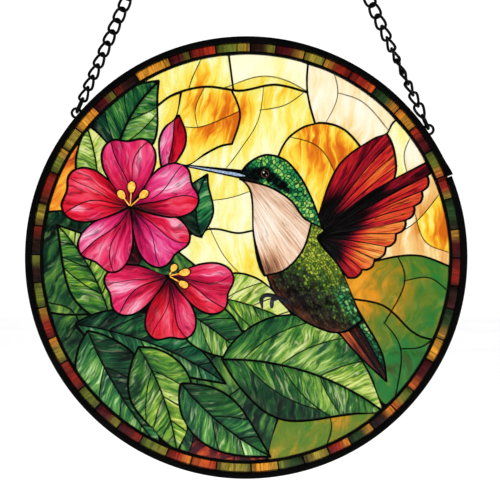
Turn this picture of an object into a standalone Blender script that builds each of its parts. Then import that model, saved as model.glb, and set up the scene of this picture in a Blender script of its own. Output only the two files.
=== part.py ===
# Round stained glass suncatcher: a leaded picture of a hummingbird and two
# blossoms inside a border of small tiles, held in a black channel rim and hung
# by two strands of curb chain from one ring.
# Metres, +Z up. The picture faces -Y. The origin is where the hook bears.

import math

import bmesh
import bpy
import numpy as np
from mathutils import Matrix, Vector
from mathutils.geometry import delaunay_2d_cdt

MM = 0.001

# Rim: a U channel bent into a circle, its two ends meeting at a seam
RIM_RADIUS = 100.0 * MM
RIM_DEPTH = 5.2 * MM
RIM_WALL = 1.5 * MM
RIM_LIP = 1.4 * MM
RIM_CHAMFER = 0.5 * MM
RIM_STEPS = 54
SEAM_ANGLE = math.radians(21.8)
SEAM_GAP = 0.4 * MM
SEAM_FLARE = 0.8 * MM
SEAM_FLARE_RUN = 9.0 * MM
SEAM_FLARE_STEPS = 3

# Glass and the lead between the pieces
GLASS_THICKNESS = 3.0 * MM
LEAD_WIDTH = 0.8 * MM
LEAD_PROUD = 0.4 * MM
GLASS_GAP = 0.12 * MM
CHANNEL_GAP = 0.3 * MM
BORDER_VIEW = 3.8 * MM
BORDER_LEAD = 1.3 * MM
BORDER_PIECES = 4
BORDER_START = math.radians(45.0)
BORDER_STEPS = 12

# The picture: how finely its lines are drawn, and the least share of it worth a piece
STROKE_STEP = 1.8 * MM
STRAIGHTNESS = 0.35 * MM
SMALLEST_SHARE = 0.0025
PETAL_SPREAD = 40.0
PETAL_NOTCH = 0.08
NOTCH_SPREAD = 0.25
WING_FEATHERS = 9
FEATHER_POINTS = 5
FEATHER_BULGE = 1.8

# Chain, eyes and ring
HANG_DROP = 245.0 * MM
EYE_ANGLE_LEFT = math.radians(49.6)
EYE_ANGLE_RIGHT = math.radians(55.0)
EYE_RADIUS = 2.1 * MM
EYE_REACH = 1.0 * MM
EYE_WIRE = 0.95 * MM
EYE_GAP = 0.3 * MM
EYE_STEPS = 14
RING_RADIUS = 6.0 * MM
RING_WIRE = 1.6 * MM
RING_STEPS = 18
ROUND_SIDES = 6
LINK_WIRE = 0.95 * MM
LINK_PITCH = 5.6 * MM
LINK_WIDTH = 5.9 * MM
LINK_TWIST = 0.8 * MM
LINK_STEPS = 6
LINK_SIDES = 3
LINK_BITE = 0.2 * MM
LINK_CLEARANCE = 0.3 * MM

# Where along each strand its links start and stop turning, and by how much
LEFT_TURN = (0.8, 1.0, 0.6)
RIGHT_TURN = (0.75, 0.89, math.pi)

# What follows from them
LIP_RADIUS = RIM_RADIUS - RIM_WALL - RIM_LIP
CHANNEL_HALF = GLASS_THICKNESS / 2 + CHANNEL_GAP
BORDER_INNER = LIP_RADIUS - BORDER_VIEW
PICTURE_RADIUS = BORDER_INNER - BORDER_LEAD
LEAD_HALF_DEPTH = GLASS_THICKNESS / 2 + LEAD_PROUD
CENTRE = Vector((0.0, 0.0, -HANG_DROP))

BLACK = (0.012, 0.012, 0.014)


# The picture is drawn in hundredths of its radius, from its centre


def at(x, z):
    return Vector((x, z)) * (PICTURE_RADIUS / 100)


def through(*pairs):
    """A smooth open line through places given in hundredths of the picture."""
    knots = [at(x, z) for x, z in pairs]
    line = []
    for i in range(len(knots) - 1):
        start, end = knots[i], knots[i + 1]
        before = knots[i - 1] if i else start * 2 - end
        after = knots[i + 2] if i + 2 < len(knots) else end * 2 - start
        steps = max(2, math.ceil((end - start).length / STROKE_STEP))
        for k in range(steps):
            t = k / steps
            line.append(
                0.5
                * (
                    2 * start
                    + (end - before) * t
                    + (2 * before - 5 * start + 4 * end - after) * t**2
                    + (3 * start - before - 3 * end + after) * t**3
                )
            )
    return line + [knots[-1]]


def outline(*strokes):
    """A closed outline of smooth strokes that meet at corners."""
    loop = []
    for stroke in strokes:
        loop += through(*stroke)[:-1]
    return loop


def blade(base, tip, width, bend=0.0, widest=0.45, fullness=1.0):
    """A leaf or feather from base to tip, and its midrib."""
    start, end = at(*base), at(*tip)
    across = (end - start).orthogonal().normalized()
    middle = (start + end) / 2 + across * (bend * PICTURE_RADIUS / 50)
    half = width * PICTURE_RADIUS / 200
    power = math.log(0.5) / math.log(widest)
    steps = max(8, math.ceil((end - start).length / STROKE_STEP))
    sides = ([], [])
    rib = []
    for k in range(steps + 1):
        t = k / steps
        spot = start * (1 - t) ** 2 + middle * 2 * t * (1 - t) + end * t**2
        run = (middle - start) * (1 - t) + (end - middle) * t
        out = run.orthogonal().normalized()
        reach = half * max(0.0, math.sin(math.pi * t**power)) ** fullness
        rib.append(spot)
        for side, sign in zip(sides, (1, -1)):
            side.append(spot + out * reach * sign)
    return sides[0][:-1] + sides[1][:0:-1], rib


def petal(heart, angle, length):
    """A broad petal with a soft notch in its end, growing out of the heart."""
    steps = math.ceil(2.2 * length * PICTURE_RADIUS / 100 / STROKE_STEP)
    loop = [at(*heart)]
    for k in range(steps):
        share = (2 * k + 1) / steps - 1
        turn = math.radians(angle + PETAL_SPREAD * share)
        reach = length * math.sqrt(1 - abs(share) ** 3)
        reach *= 1 - PETAL_NOTCH * math.exp(-((share / NOTCH_SPREAD) ** 2))
        loop.append(at(heart[0] + reach * math.cos(turn), heart[1] + reach * math.sin(turn)))
    return loop


def spread_along(line, count):
    """Points that part a line into equal runs."""
    ends = np.cumsum([0.0] + [(b - a).length for a, b in zip(line, line[1:])])
    stops = np.linspace(0.0, ends[-1], count + 1)
    xs = np.interp(stops, ends, [p.x for p in line])
    zs = np.interp(stops, ends, [p.y for p in line])
    return [Vector(pair) for pair in zip(xs, zs)]


def feather_ends(guide):
    """A trailing edge: a round feather end stands out from the guide line for each feather."""
    spots = spread_along(guide, WING_FEATHERS * FEATHER_POINTS)
    depth = FEATHER_BULGE * PICTURE_RADIUS / 100
    edge = [spots[0]]
    for k in range(1, len(spots) - 1):
        out = (spots[k + 1] - spots[k - 1]).orthogonal().normalized()
        edge.append(spots[k] + out * depth * abs(math.sin(math.pi * k / FEATHER_POINTS)) ** 0.7)
    return edge + [spots[-1]]


def arc(radius, start, end, steps):
    return [
        Vector((radius * math.cos(a), radius * math.sin(a)))
        for a in (start + (end - start) * k / steps for k in range(steps + 1))
    ]


def straightened(line, tolerance):
    """An open line without the points that it can do without."""
    worst, spot = tolerance, None
    run = line[-1] - line[0]
    for k in range(1, len(line) - 1):
        off = line[k] - line[0]
        gap = abs(run.cross(off)) / run.length if run.length > 1e-9 else off.length
        if gap > worst:
            worst, spot = gap, k
    if spot is None:
        return [line[0], line[-1]]
    head = straightened(line[: spot + 1], tolerance)
    return head[:-1] + straightened(line[spot:], tolerance)


def straightened_loop(loop, tolerance):
    start = max(range(len(loop)), key=lambda k: loop[k].length)
    chain = loop[start:] + loop[:start] + [loop[start]]
    far = max(range(len(chain)), key=lambda k: (chain[k] - chain[0]).length)
    there = straightened(chain[: far + 1], tolerance)
    back = straightened(chain[far:], tolerance)
    return there[:-1] + back[:-1]


class Shape:
    """One thing in the picture. Later shapes lie over earlier ones."""

    def __init__(self, name, loop, cuts=(), glass=True):
        self.name = name
        self.loop = straightened_loop(loop, STRAIGHTNESS)
        self.cuts = [straightened(cut, STRAIGHTNESS) for cut in cuts]
        self.glass = glass


def leaf(name, base, tip, width, bend=0.0, halved=False):
    loop, rib = blade(base, tip, width, bend, widest=0.42)
    return Shape(name, loop, [rib] if halved else [])


def sky():
    cuts = [
        through((-50, 70), (-36, 80), (-20, 84), (-4, 82), (14, 85), (31, 81)),
        through((31, 103), (30, 82), (35, 62)),
        through((-6, 80), (-9, 103)),
        through((-8, 84), (-3, 70), (-8, 53)),
        through((14, 46), (21, 59), (34, 66), (48, 63), (60, 50)),
        through((24, 62), (6, 56), (-12, 55), (-34, 42)),
        through((-36, 62), (-31, 86)),
        through((66, 55), (72, 66), (82, 76)),
        through((-36, 8), (-18, 14), (-4, 12), (8, 14)),
    ]
    loop = arc(PICTURE_RADIUS + LEAD_WIDTH / 2, 0, math.tau, BORDER_PIECES * BORDER_STEPS)
    return Shape("sky", loop[:-1], cuts)


def field():
    loop = outline(
        [(44, -8), (62, -2), (84, 1), (104, -6)],
        [(104, -6), (104, -104)],
        [(104, -104), (0, -104)],
        [(0, -104), (8, -62), (26, -44), (44, -26), (44, -8)],
    )
    cuts = [
        through((50, -20), (68, -24), (84, -38), (102, -42)),
        through((60, -66), (72, -76), (78, -88)),
    ]
    return Shape("field", loop, cuts)


def foliage():
    loop = outline(
        [(-104, 62), (-84, 60), (-76, 48), (-66, 30), (-40, 8), (-20, -8)],
        [(-20, -8), (-4, -10), (14, -16), (28, -28), (30, -46), (18, -70), (9, -104)],
        [(9, -104), (-104, -104)],
        [(-104, -104), (-104, 62)],
    )
    cuts = [
        through((-104, -26), (-90, -28), (-70, -28)),
        through((-52, -44), (-54, -62), (-64, -92)),
        through((-104, 22), (-76, 24)),
    ]
    return Shape("foliage", loop, cuts)


def leaves():
    return [
        leaf("leaf_top", (-66, 44), (-43, 87), 32, bend=4, halved=True),
        leaf("leaf_left_high", (-73, 28), (-79, 66), 21, bend=-2),
        leaf("leaf_left_low", (-66, -34), (-93, 16), 28, bend=-4),
        leaf("leaf_by_bird", (-22, 10), (-19, 41), 17, bend=4),
        leaf("leaf_long", (-84, -33), (-10, -62), 27, bend=5),
        leaf("leaf_corner", (-78, -36), (-42, -94), 34, bend=-3),
        leaf("leaf_low", (-53, -44), (-34, -96), 31, bend=3),
        leaf("leaf_under", (-26, -18), (26, -34), 28, bend=3),
        leaf("leaf_middle", (-38, -22), (4, -53), 24, bend=2),
        leaf("leaf_foot", (-32, -62), (12, -98), 26, bend=-3),
        leaf("leaf_big", (-12, -50), (68, -76), 52, bend=7, halved=True),
    ]


def blossoms():
    low_heart, high_heart = (-38, -9), (-57, 25)
    low = [petal(low_heart, angle, 33) for angle in (-88, -16, 198)]
    high = [petal(high_heart, angle, 35) for angle in (-46, -122, 166, 20, 92)]
    shapes = [Shape("bud", blade((-41, 38), (-33, 70), 13, widest=0.6)[0])]
    shapes += [Shape(f"petal_low_{number}", loop) for number, loop in enumerate(low, 1)]
    return shapes + [Shape(f"petal_high_{number}", loop) for number, loop in enumerate(high, 1)]


def wings():
    root = (35, 10)
    back_loop = blade((33, 12), (69, 61), 29, bend=-5, widest=0.55, fullness=0.8)[0]
    guide = through((91, 48), (87, 34), (80, 21), (71, 8), (61, -3), (50, -10))
    leading_edge = through(root, (60, 31), (91, 48))
    front_loop = leading_edge[:-1] + feather_ends(guide)
    notch = spread_along(guide, WING_FEATHERS)[WING_FEATHERS // 2]
    split = [at(*root), at(*root).lerp(notch, 1.05)]
    return [Shape("wing_back", back_loop), Shape("wing_front", front_loop, [split])]


def bird():
    tail = outline(
        [(38, -26), (48, -40), (58, -51), (69, -61)],
        [(69, -61), (67, -48), (61, -36), (53, -22)],
        [(53, -22), (38, -26)],
    )
    body = outline(
        [(31, 20), (38, 14), (44, 0), (50, -15), (57, -31)],
        [(57, -31), (46, -37), (32, -33), (20, -25), (12, -14), (9, -5)],
        [(9, -5), (19, -4), (27, 5), (31, 20)],
    )
    throat = outline(
        [(-3, 39), (2, 33), (3, 22), (4, 9), (9, -9)],
        [(9, -9), (19, -6), (28, 4), (33, 20)],
        [(33, 20), (22, 33), (8, 40), (-3, 39)],
    )
    crown = outline(
        [(-3, 41.5), (2, 47), (10, 50.5), (19, 48), (27, 39), (33, 27), (38, 14)],
        [(38, 14), (29, 19), (22, 28), (13, 34), (4, 37), (-3, 38.5)],
        [(-3, 38.5), (-3, 41.5)],
    )
    bill = [at(0, 42.4), at(-31, 45.4), at(0, 38.6)]
    back_wing, front_wing = wings()
    return [
        back_wing,
        Shape("tail", tail),
        Shape("body", body),
        Shape("bill", bill, glass=False),
        Shape("throat", throat),
        Shape("crown", crown),
        front_wing,
    ]


def shapes_of_picture():
    return [sky(), field(), foliage(), *leaves(), *blossoms(), *bird()]


# Cutting the picture into pieces


def area_of(loop):
    pairs = zip(loop, loop[1:] + loop[:1])
    return sum(a.x * b.y - b.x * a.y for a, b in pairs) / 2


def turns_round(spots, loop):
    """How many times a loop turns round each spot."""
    start = np.array([tuple(p) for p in loop])
    end = np.roll(start, -1, axis=0)
    total = np.zeros(len(spots), int)
    for (x0, y0), (x1, y1) in zip(start, end):
        side = (x1 - x0) * (spots[:, 1] - y0) - (spots[:, 0] - x0) * (y1 - y0)
        total += (y0 <= spots[:, 1]) & (y1 > spots[:, 1]) & (side > 0)
        total -= (y0 > spots[:, 1]) & (y1 <= spots[:, 1]) & (side < 0)
    return total


def mesh_lines(loops, lines=()):
    """Triangles between all the loops and lines, and which line each edge lies on."""
    points, edges, owners = [], [], []
    for owner, chain, closed in [(None, c, True) for c in loops] + [(o, c, False) for o, c in lines]:
        first = len(points)
        points += chain
        for k in range(len(chain) - (not closed)):
            edges.append((first + k, first + (k + 1) % len(chain)))
            owners.append(owner)
    spots, out_edges, faces, _, origin, _ = delaunay_2d_cdt(points, edges, [], 0, 1e-8, True)
    owned = {}
    for pair, sources in zip(out_edges, origin):
        found = {owners[s] for s in sources} - {None}
        if found:
            owned[frozenset(pair)] = found
    faces = [f if area_of([spots[i] for i in f]) > 0 else f[::-1] for f in faces]
    return spots, faces, owned


def middles_of(spots, faces):
    """The middle of each triangle, one a row."""
    corners = np.array([tuple(p) for p in spots])[np.array(faces, int).reshape(-1, 3)]
    return corners.mean(axis=1)


def grouped(faces, labels, owned):
    """Groups of joined triangles with one label, parted by that label's own cuts."""
    beside = {}
    for number, face in enumerate(faces):
        for k in range(3):
            beside.setdefault(frozenset((face[k], face[(k + 1) % 3])), []).append(number)
    seen, groups = set(), []
    for number in range(len(faces)):
        if number in seen or labels[number] is None:
            continue
        seen.add(number)
        group, queue = [], [number]
        while queue:
            current = queue.pop()
            group.append(current)
            face = faces[current]
            for k in range(3):
                edge = frozenset((face[k], face[(k + 1) % 3]))
                if labels[current] in owned.get(edge, ()):
                    continue
                for other in beside[edge]:
                    if other not in seen and labels[other] == labels[current]:
                        seen.add(other)
                        queue.append(other)
        groups.append(group)
    return groups


def rims_of(faces):
    """The directed edges round a group of triangles, chained into loops."""
    edges = {(f[k], f[(k + 1) % 3]) for f in faces for k in range(3)}
    onward = {}
    for a, b in sorted(edges):
        if (b, a) not in edges:
            onward.setdefault(a, []).append(b)
    loops = []
    while onward:
        start = min(onward)
        loop, spot = [], start
        while spot in onward:
            following = onward[spot].pop()
            if not onward[spot]:
                del onward[spot]
            loop.append(spot)
            spot = following
        loops.append(loop)
    return loops


def outer_loop(spots, faces):
    loops = [[spots[i] for i in loop] for loop in rims_of(faces)]
    return max(loops, key=area_of)


def inset(loop, distance):
    """The loops that stay a distance inside the given one, the largest first."""
    raw = []
    for before, spot, after in zip(loop[-1:] + loop[:-1], loop, loop[1:] + loop[:1]):
        into, out = (spot - before).normalized(), (after - spot).normalized()
        left, right = Vector((-into.y, into.x)), Vector((-out.y, out.x))
        spread = 1 + left.dot(right)
        if into.cross(out) > 0:
            raw += [spot + left * distance, spot, spot + right * distance]
        elif spread < 1.2:
            raw += [spot + left * distance, spot + right * distance]
        else:
            raw.append(spot + (left + right) * (distance / spread))
    spots, faces, _ = mesh_lines([raw])
    labels = [1 if turns > 0 else None for turns in turns_round(middles_of(spots, faces), raw)]
    groups = grouped(faces, labels, {})
    loops = [outer_loop(spots, [faces[n] for n in group]) for group in groups]
    return sorted(loops, key=area_of, reverse=True)


def clean_loop(loop):
    """The loop with fewer points, and without the crossings that this can leave."""
    return inset(straightened_loop(loop, STRAIGHTNESS / 2), 0)[0]


def cells_of_picture():
    """Each piece of the picture as (name, outline along the middle of its leads)."""
    shapes = shapes_of_picture()
    loops = [s.loop if area_of(s.loop) > 0 else s.loop[::-1] for s in shapes]
    lines = [(n, cut) for n, s in enumerate(shapes) for cut in s.cuts]
    spots, faces, owned = mesh_lines(loops, lines)
    middles = middles_of(spots, faces)
    within = [turns_round(middles, loop) != 0 for loop in loops]
    labels = []
    for number in range(len(faces)):
        on_top = [n for n in range(len(shapes)) if within[n][number]]
        labels.append(on_top[-1] if on_top and within[0][number] else None)
    cells = {}
    for group in grouped(faces, labels, owned):
        shape = shapes[labels[group[0]]]
        if shape.glass:
            loop = outer_loop(spots, [faces[n] for n in group])
            cells.setdefault(shape.name, []).append(loop)
    return cells


def openings_of_picture():
    """The clear opening inside the leads of each piece, by the piece's name."""
    least = SMALLEST_SHARE * math.pi * PICTURE_RADIUS**2
    openings = {}
    for name, loops in cells_of_picture().items():
        found = [opening for loop in loops for opening in inset(loop, LEAD_WIDTH / 2)]
        kept = [clean_loop(o) for o in found if area_of(o) > least]
        kept.sort(key=lambda o: sum(p.x - p.y for p in o) / len(o))
        for number, opening in enumerate(kept, 1):
            openings[name if len(kept) == 1 else f"{name}_{number}"] = opening
    return openings


# Solids


def eased(t):
    t = min(1.0, max(0.0, t))
    return t * t * (3 - 2 * t)


def add_object(name, mesh, colour, roughness, metallic=0.0, transmission=0.0):
    material = bpy.data.materials.new(name)
    material.use_nodes = True
    shader = material.node_tree.nodes["Principled BSDF"]
    shader.inputs["Base Color"].default_value = (*colour, 1.0)
    shader.inputs["Roughness"].default_value = roughness
    shader.inputs["Metallic"].default_value = metallic
    shader.inputs["Transmission Weight"].default_value = transmission
    mesh.materials.append(material)
    obj = bpy.data.objects.new(name, mesh)
    bpy.context.scene.collection.objects.link(obj)
    return obj


def mesh_of(name, points, faces):
    mesh = bpy.data.meshes.new(name)
    mesh.from_pydata([tuple(p) for p in points], [], faces)
    work = bmesh.new()
    work.from_mesh(mesh)
    bmesh.ops.recalc_face_normals(work, faces=work.faces)
    work.to_mesh(mesh)
    work.free()
    return mesh


def plate(name, outer, holes, half_depth):
    """A flat plate in the panel's plane, with holes through it."""
    spots, faces, _ = mesh_lines([outer, *holes])
    middles = middles_of(spots, faces)
    solid = turns_round(middles, outer) != 0
    for hole in holes:
        solid &= turns_round(middles, hole) == 0
    faces = [f for f, kept in zip(faces, solid) if kept]
    used = sorted({i for f in faces for i in f})
    place = {old: new for new, old in enumerate(used)}
    count = len(used)
    points = [
        CENTRE + Vector((spots[i].x, side * half_depth, spots[i].y)) for side in (-1, 1) for i in used
    ]
    front = [tuple(place[i] for i in f) for f in faces]
    back = [tuple(i + count for i in reversed(f)) for f in front]
    walls = []
    edges = {(f[k], f[(k + 1) % 3]) for f in front for k in range(3)}
    for a, b in sorted(edges):
        if (b, a) not in edges:
            walls.append((b, a, a + count, b + count))
    return mesh_of(name, points, front + back + walls)


def border_bar_angles():
    return [BORDER_START + math.tau * k / BORDER_PIECES for k in range(BORDER_PIECES)]


def make_border_glass():
    inner = BORDER_INNER + GLASS_GAP
    outer = RIM_RADIUS - RIM_WALL - CHANNEL_GAP
    side = LEAD_WIDTH / 2 + GLASS_GAP
    angles = border_bar_angles()
    for number, start in enumerate(angles, 1):
        end = start + math.tau / BORDER_PIECES
        low = arc(inner, start + side / inner, end - side / inner, BORDER_STEPS)
        high = arc(outer, start + side / outer, end - side / outer, BORDER_STEPS)
        name = f"border_glass_{number}"
        mesh = plate(name, low + high[::-1], [], GLASS_THICKNESS / 2)
        add_object(name, mesh, (0.55, 0.22, 0.05), 0.15, transmission=0.7)


def make_leading(openings):
    """The web of lead: the border ring, its bars and the lines of the picture."""
    outer = []
    half = LEAD_WIDTH / 2
    bar_end = LIP_RADIUS - CHANNEL_GAP
    angles = border_bar_angles()
    for start, end in zip(angles, angles[1:] + [angles[0] + math.tau]):
        for radius, sign in ((BORDER_INNER, -1), (bar_end, -1), (bar_end, 1)):
            side = start + sign * half / radius
            outer.append(Vector((radius * math.cos(side), radius * math.sin(side))))
        low = half / BORDER_INNER
        outer += arc(BORDER_INNER, start + low, end - low, BORDER_STEPS)[:-1]
    mesh = plate("leading", outer, list(openings.values()), LEAD_HALF_DEPTH)
    add_object("leading", mesh, BLACK, 0.4, metallic=0.6)


PIECE_COLOURS = {
    "sky": (0.95, 0.75, 0.25),
    "field": (0.35, 0.55, 0.10),
    "foliage": (0.05, 0.22, 0.06),
    "leaf": (0.10, 0.42, 0.10),
    "petal": (0.85, 0.03, 0.12),
    "bud": (0.85, 0.03, 0.15),
    "crown": (0.05, 0.40, 0.22),
    "body": (0.16, 0.42, 0.08),
    "throat": (0.85, 0.62, 0.48),
    "tail": (0.20, 0.07, 0.05),
    "wing": (0.70, 0.14, 0.05),
}


def make_glass(openings):
    for name, opening in openings.items():
        loop = inset(opening, GLASS_GAP)[0]
        colour = PIECE_COLOURS[name.split("_")[0]]
        piece = f"glass_{name}"
        mesh = plate(piece, loop, [], GLASS_THICKNESS / 2)
        add_object(piece, mesh, colour, 0.15, transmission=0.7)


def rim_angles():
    """Angles round the rim from one side of the seam to the other, closer at the flare."""
    gap = SEAM_GAP / RIM_RADIUS / 2
    flare = SEAM_FLARE_RUN / RIM_RADIUS
    start, end = SEAM_ANGLE + gap, SEAM_ANGLE + math.tau - gap
    near = [start + flare * k / SEAM_FLARE_STEPS for k in range(SEAM_FLARE_STEPS)]
    rest = end - start - flare
    far = [start + flare + rest * k / RIM_STEPS for k in range(RIM_STEPS + 1)]
    return near + far


def flare_at(angle):
    """How far the strip's upper end stands proud next to the seam."""
    run = (angle - SEAM_ANGLE) * RIM_RADIUS / SEAM_FLARE_RUN
    return SEAM_FLARE * eased(1 - run)


def make_rim():
    half = RIM_DEPTH / 2
    groove = RIM_RADIUS - RIM_WALL
    points, faces = [], []
    angles = rim_angles()
    for angle in angles:
        outer = RIM_RADIUS + flare_at(angle)
        section = [
            (outer, -half + RIM_CHAMFER),
            (outer, half - RIM_CHAMFER),
            (outer - RIM_CHAMFER, half),
            (LIP_RADIUS, half),
            (LIP_RADIUS, CHANNEL_HALF),
            (groove, CHANNEL_HALF),
            (groove, -CHANNEL_HALF),
            (LIP_RADIUS, -CHANNEL_HALF),
            (LIP_RADIUS, -half),
            (outer - RIM_CHAMFER, -half),
        ]
        for radius, y in section:
            spot = Vector((radius * math.cos(angle), y, radius * math.sin(angle)))
            points.append(CENTRE + spot)
    sides = len(section)
    for k in range(len(angles) - 1):
        for s in range(sides):
            a, b = k * sides + s, k * sides + (s + 1) % sides
            faces.append((a, b, b + sides, a + sides))
    last = (len(angles) - 1) * sides
    faces.append(tuple(range(sides))[::-1])
    faces.append(tuple(range(last, last + sides)))
    add_object("rim", mesh_of("rim", points, faces), BLACK, 0.35, metallic=0.7)


def loop_of_wire(line, middle, radius, sides):
    """Points and faces of a wire bent into a closed loop, an edge of it facing the middle."""
    points, faces = [], []
    count = len(line)
    for k, spot in enumerate(line):
        into = (spot - line[k - 1]).normalized()
        run = (into + (line[(k + 1) % count] - spot).normalized()).normalized()
        inward = middle - spot
        up = (inward - run * inward.dot(run)).normalized()
        side = run.cross(up)
        up /= into.dot(run)
        for s in range(sides):
            turn = math.tau * s / sides
            points.append(spot + (up * math.cos(turn) + side * math.sin(turn)) * radius)
    for k in range(count):
        for s in range(sides):
            a, b = k * sides + s, k * sides + (s + 1) % sides
            c, d = (a + sides) % (count * sides), (b + sides) % (count * sides)
            faces.append((a, b, d, c))
    return points, faces


def round_ring(name, middle, radius, wire, steps):
    line = [
        middle + Vector((radius * math.sin(a), 0, radius * math.cos(a)))
        for a in (math.tau * k / steps for k in range(steps))
    ]
    points, faces = loop_of_wire(line, middle, wire / 2, ROUND_SIDES)
    return mesh_of(name, points, faces)


def eye_centre(angle):
    return CENTRE + Vector((math.sin(angle), 0, math.cos(angle))) * (RIM_RADIUS + EYE_REACH)


def make_eye(name, angle):
    """A small wire loop whose two feet stand on the rim."""
    mesh = round_ring(name, eye_centre(angle), EYE_RADIUS, EYE_WIRE, EYE_STEPS)
    obj = add_object(name, mesh, BLACK, 0.35, metallic=0.7)
    work = bmesh.new()
    bmesh.ops.create_cone(
        work,
        cap_ends=True,
        segments=4 * RIM_STEPS,
        radius1=RIM_RADIUS + EYE_GAP,
        radius2=RIM_RADIUS + EYE_GAP,
        depth=RIM_DEPTH * 2,
        matrix=Matrix.Translation(CENTRE) @ Matrix.Rotation(math.pi / 2, 4, "X"),
    )
    cutter_mesh = bpy.data.meshes.new(name + "_cutter")
    work.to_mesh(cutter_mesh)
    work.free()
    cutter = bpy.data.objects.new(name + "_cutter", cutter_mesh)
    bpy.context.scene.collection.objects.link(cutter)
    cutter.hide_render = True
    cutter.display_type = "WIRE"
    cut = obj.modifiers.new("rim_clearance", "BOOLEAN")
    cut.operation = "DIFFERENCE"
    cut.object = cutter


def make_ring():
    middle = Vector((0, 0, RING_WIRE / 2 - RING_RADIUS))
    mesh = round_ring("hanging_ring", middle, RING_RADIUS, RING_WIRE, RING_STEPS)
    add_object("hanging_ring", mesh, BLACK, 0.35, metallic=0.7)
    return middle


def link_line(middle, run, roll, length, width, twist):
    """The centre line of one link, its two ends tilted against each other."""
    front = Matrix.Rotation(roll, 3, run) @ Vector((0, -1, 0))
    across = run.cross(front)
    line = []
    length /= math.cos(math.pi / LINK_STEPS)
    for k in range(LINK_STEPS):
        a = math.tau * (k + 0.5) / LINK_STEPS
        line.append(
            middle
            + run * (length / 2 * math.cos(a))
            + across * (width / 2 * math.sin(a))
            + front * (twist * math.sin(2 * a))
        )
    return line


def make_chain(name, ring_middle, eye_middle, turn):
    """A strand of links from the ring to one eye, each hooked in the next."""
    turn_start, turn_end, turn_by = turn
    run = (eye_middle - ring_middle).normalized()
    radius = (LINK_WIRE + LINK_BITE) / 2
    top = ring_middle + run * (RING_RADIUS - RING_WIRE / 2 - radius - LINK_CLEARANCE)
    low = eye_middle - run * (EYE_RADIUS - EYE_WIRE / 2 - radius - LINK_CLEARANCE)
    span = (low - top).length
    count = round((span - LINK_WIRE) / LINK_PITCH)
    pitch = (span - LINK_WIRE) / count
    length = pitch + LINK_WIRE
    width = LINK_WIDTH - LINK_WIRE
    strands = []
    for parity in (0, 1):
        points, faces = [], []
        for k in range(parity, count, 2):
            end_link = k in (0, count - 1)
            turned = eased((k / (count - 1) - turn_start) / (turn_end - turn_start))
            roll = math.pi / 2 if end_link else turn_by * turned
            middle = top + run * (length / 2 + pitch * k)
            twist = 0.0 if end_link else LINK_TWIST
            line = link_line(middle, run, roll, length, width, twist)
            more, loops = loop_of_wire(line, middle, radius, LINK_SIDES)
            faces += [tuple(i + len(points) for i in f) for f in loops]
            points += more
        strands.append(mesh_of(f"{name}_{parity}", points, faces))
    strand = add_object(name, strands[0], BLACK, 0.35, metallic=0.7)
    other = bpy.data.objects.new(name + "_hooked", strands[1])
    bpy.context.scene.collection.objects.link(other)
    other.hide_render = True
    other.display_type = "WIRE"
    hook = strand.modifiers.new("hooked_links", "BOOLEAN")
    hook.operation = "UNION"
    hook.object = other


def main():
    for obj in list(bpy.data.objects):
        bpy.data.objects.remove(obj)
    openings = openings_of_picture()
    make_rim()
    make_border_glass()
    make_leading(openings)
    make_glass(openings)
    make_eye("eye_left", -EYE_ANGLE_LEFT)
    make_eye("eye_right", EYE_ANGLE_RIGHT)
    ring = make_ring()
    make_chain("chain_left", ring, eye_centre(-EYE_ANGLE_LEFT), LEFT_TURN)
    make_chain("chain_right", ring, eye_centre(EYE_ANGLE_RIGHT), RIGHT_TURN)


main()
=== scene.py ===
# Looks of the stained glass suncatcher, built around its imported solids.
# Metres, +Z up. The picture faces -Y, and the origin is where the hook bears.

import math
import random

import bpy
import numpy as np
from mathutils import Matrix, Vector, kdtree
from mathutils.geometry import delaunay_2d_cdt


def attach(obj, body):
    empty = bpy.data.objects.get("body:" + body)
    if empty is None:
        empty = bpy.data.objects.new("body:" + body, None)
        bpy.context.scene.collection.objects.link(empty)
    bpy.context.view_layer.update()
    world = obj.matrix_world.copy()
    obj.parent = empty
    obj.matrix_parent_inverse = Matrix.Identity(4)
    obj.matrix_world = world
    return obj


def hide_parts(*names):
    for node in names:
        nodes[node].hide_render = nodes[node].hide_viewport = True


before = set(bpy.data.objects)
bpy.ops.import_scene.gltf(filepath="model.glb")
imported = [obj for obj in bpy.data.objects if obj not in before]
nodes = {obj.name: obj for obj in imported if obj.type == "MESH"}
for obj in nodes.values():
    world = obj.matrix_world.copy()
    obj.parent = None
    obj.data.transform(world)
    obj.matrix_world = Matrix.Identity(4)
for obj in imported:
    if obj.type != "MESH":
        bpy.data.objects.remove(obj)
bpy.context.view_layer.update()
mm = 0.001

# the panel, as the solids have it
panel = {
    "centre": Vector((0.0, 0.0, -245.0 * mm)),
    "rimRadius": 100.0 * mm,
    "rimDepth": 5.2 * mm,
    "lipRadius": 97.1 * mm,
    "borderInner": 93.3 * mm,
    "pictureRadius": 92.0 * mm,
    "glassHalf": 1.5 * mm,
}
unit = panel["pictureRadius"] / 100  # the picture is drawn in hundredths of its radius
centreZ = panel["centre"].z


def spot(x, z):
    return np.array([x * unit, z * unit + centreZ])


def drawnPlace(x, z):
    # back from metres to hundredths of the picture's radius
    return x / unit, (z - centreZ) / unit


def ink(*colour):
    # red, green and blue as a screen shows them, 0 to 255, turned into the shader's scale
    return tuple(c / 255 / 12.92 if c <= 10 else ((c / 255 + 0.055) / 1.055) ** 2.4 for c in colour)


def shades(*stops):
    # the stops of a colour ramp, each with its place from 0 to 1 and its red, green and blue
    return [(place, ink(*colour)) for place, *colour in stops]


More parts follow.
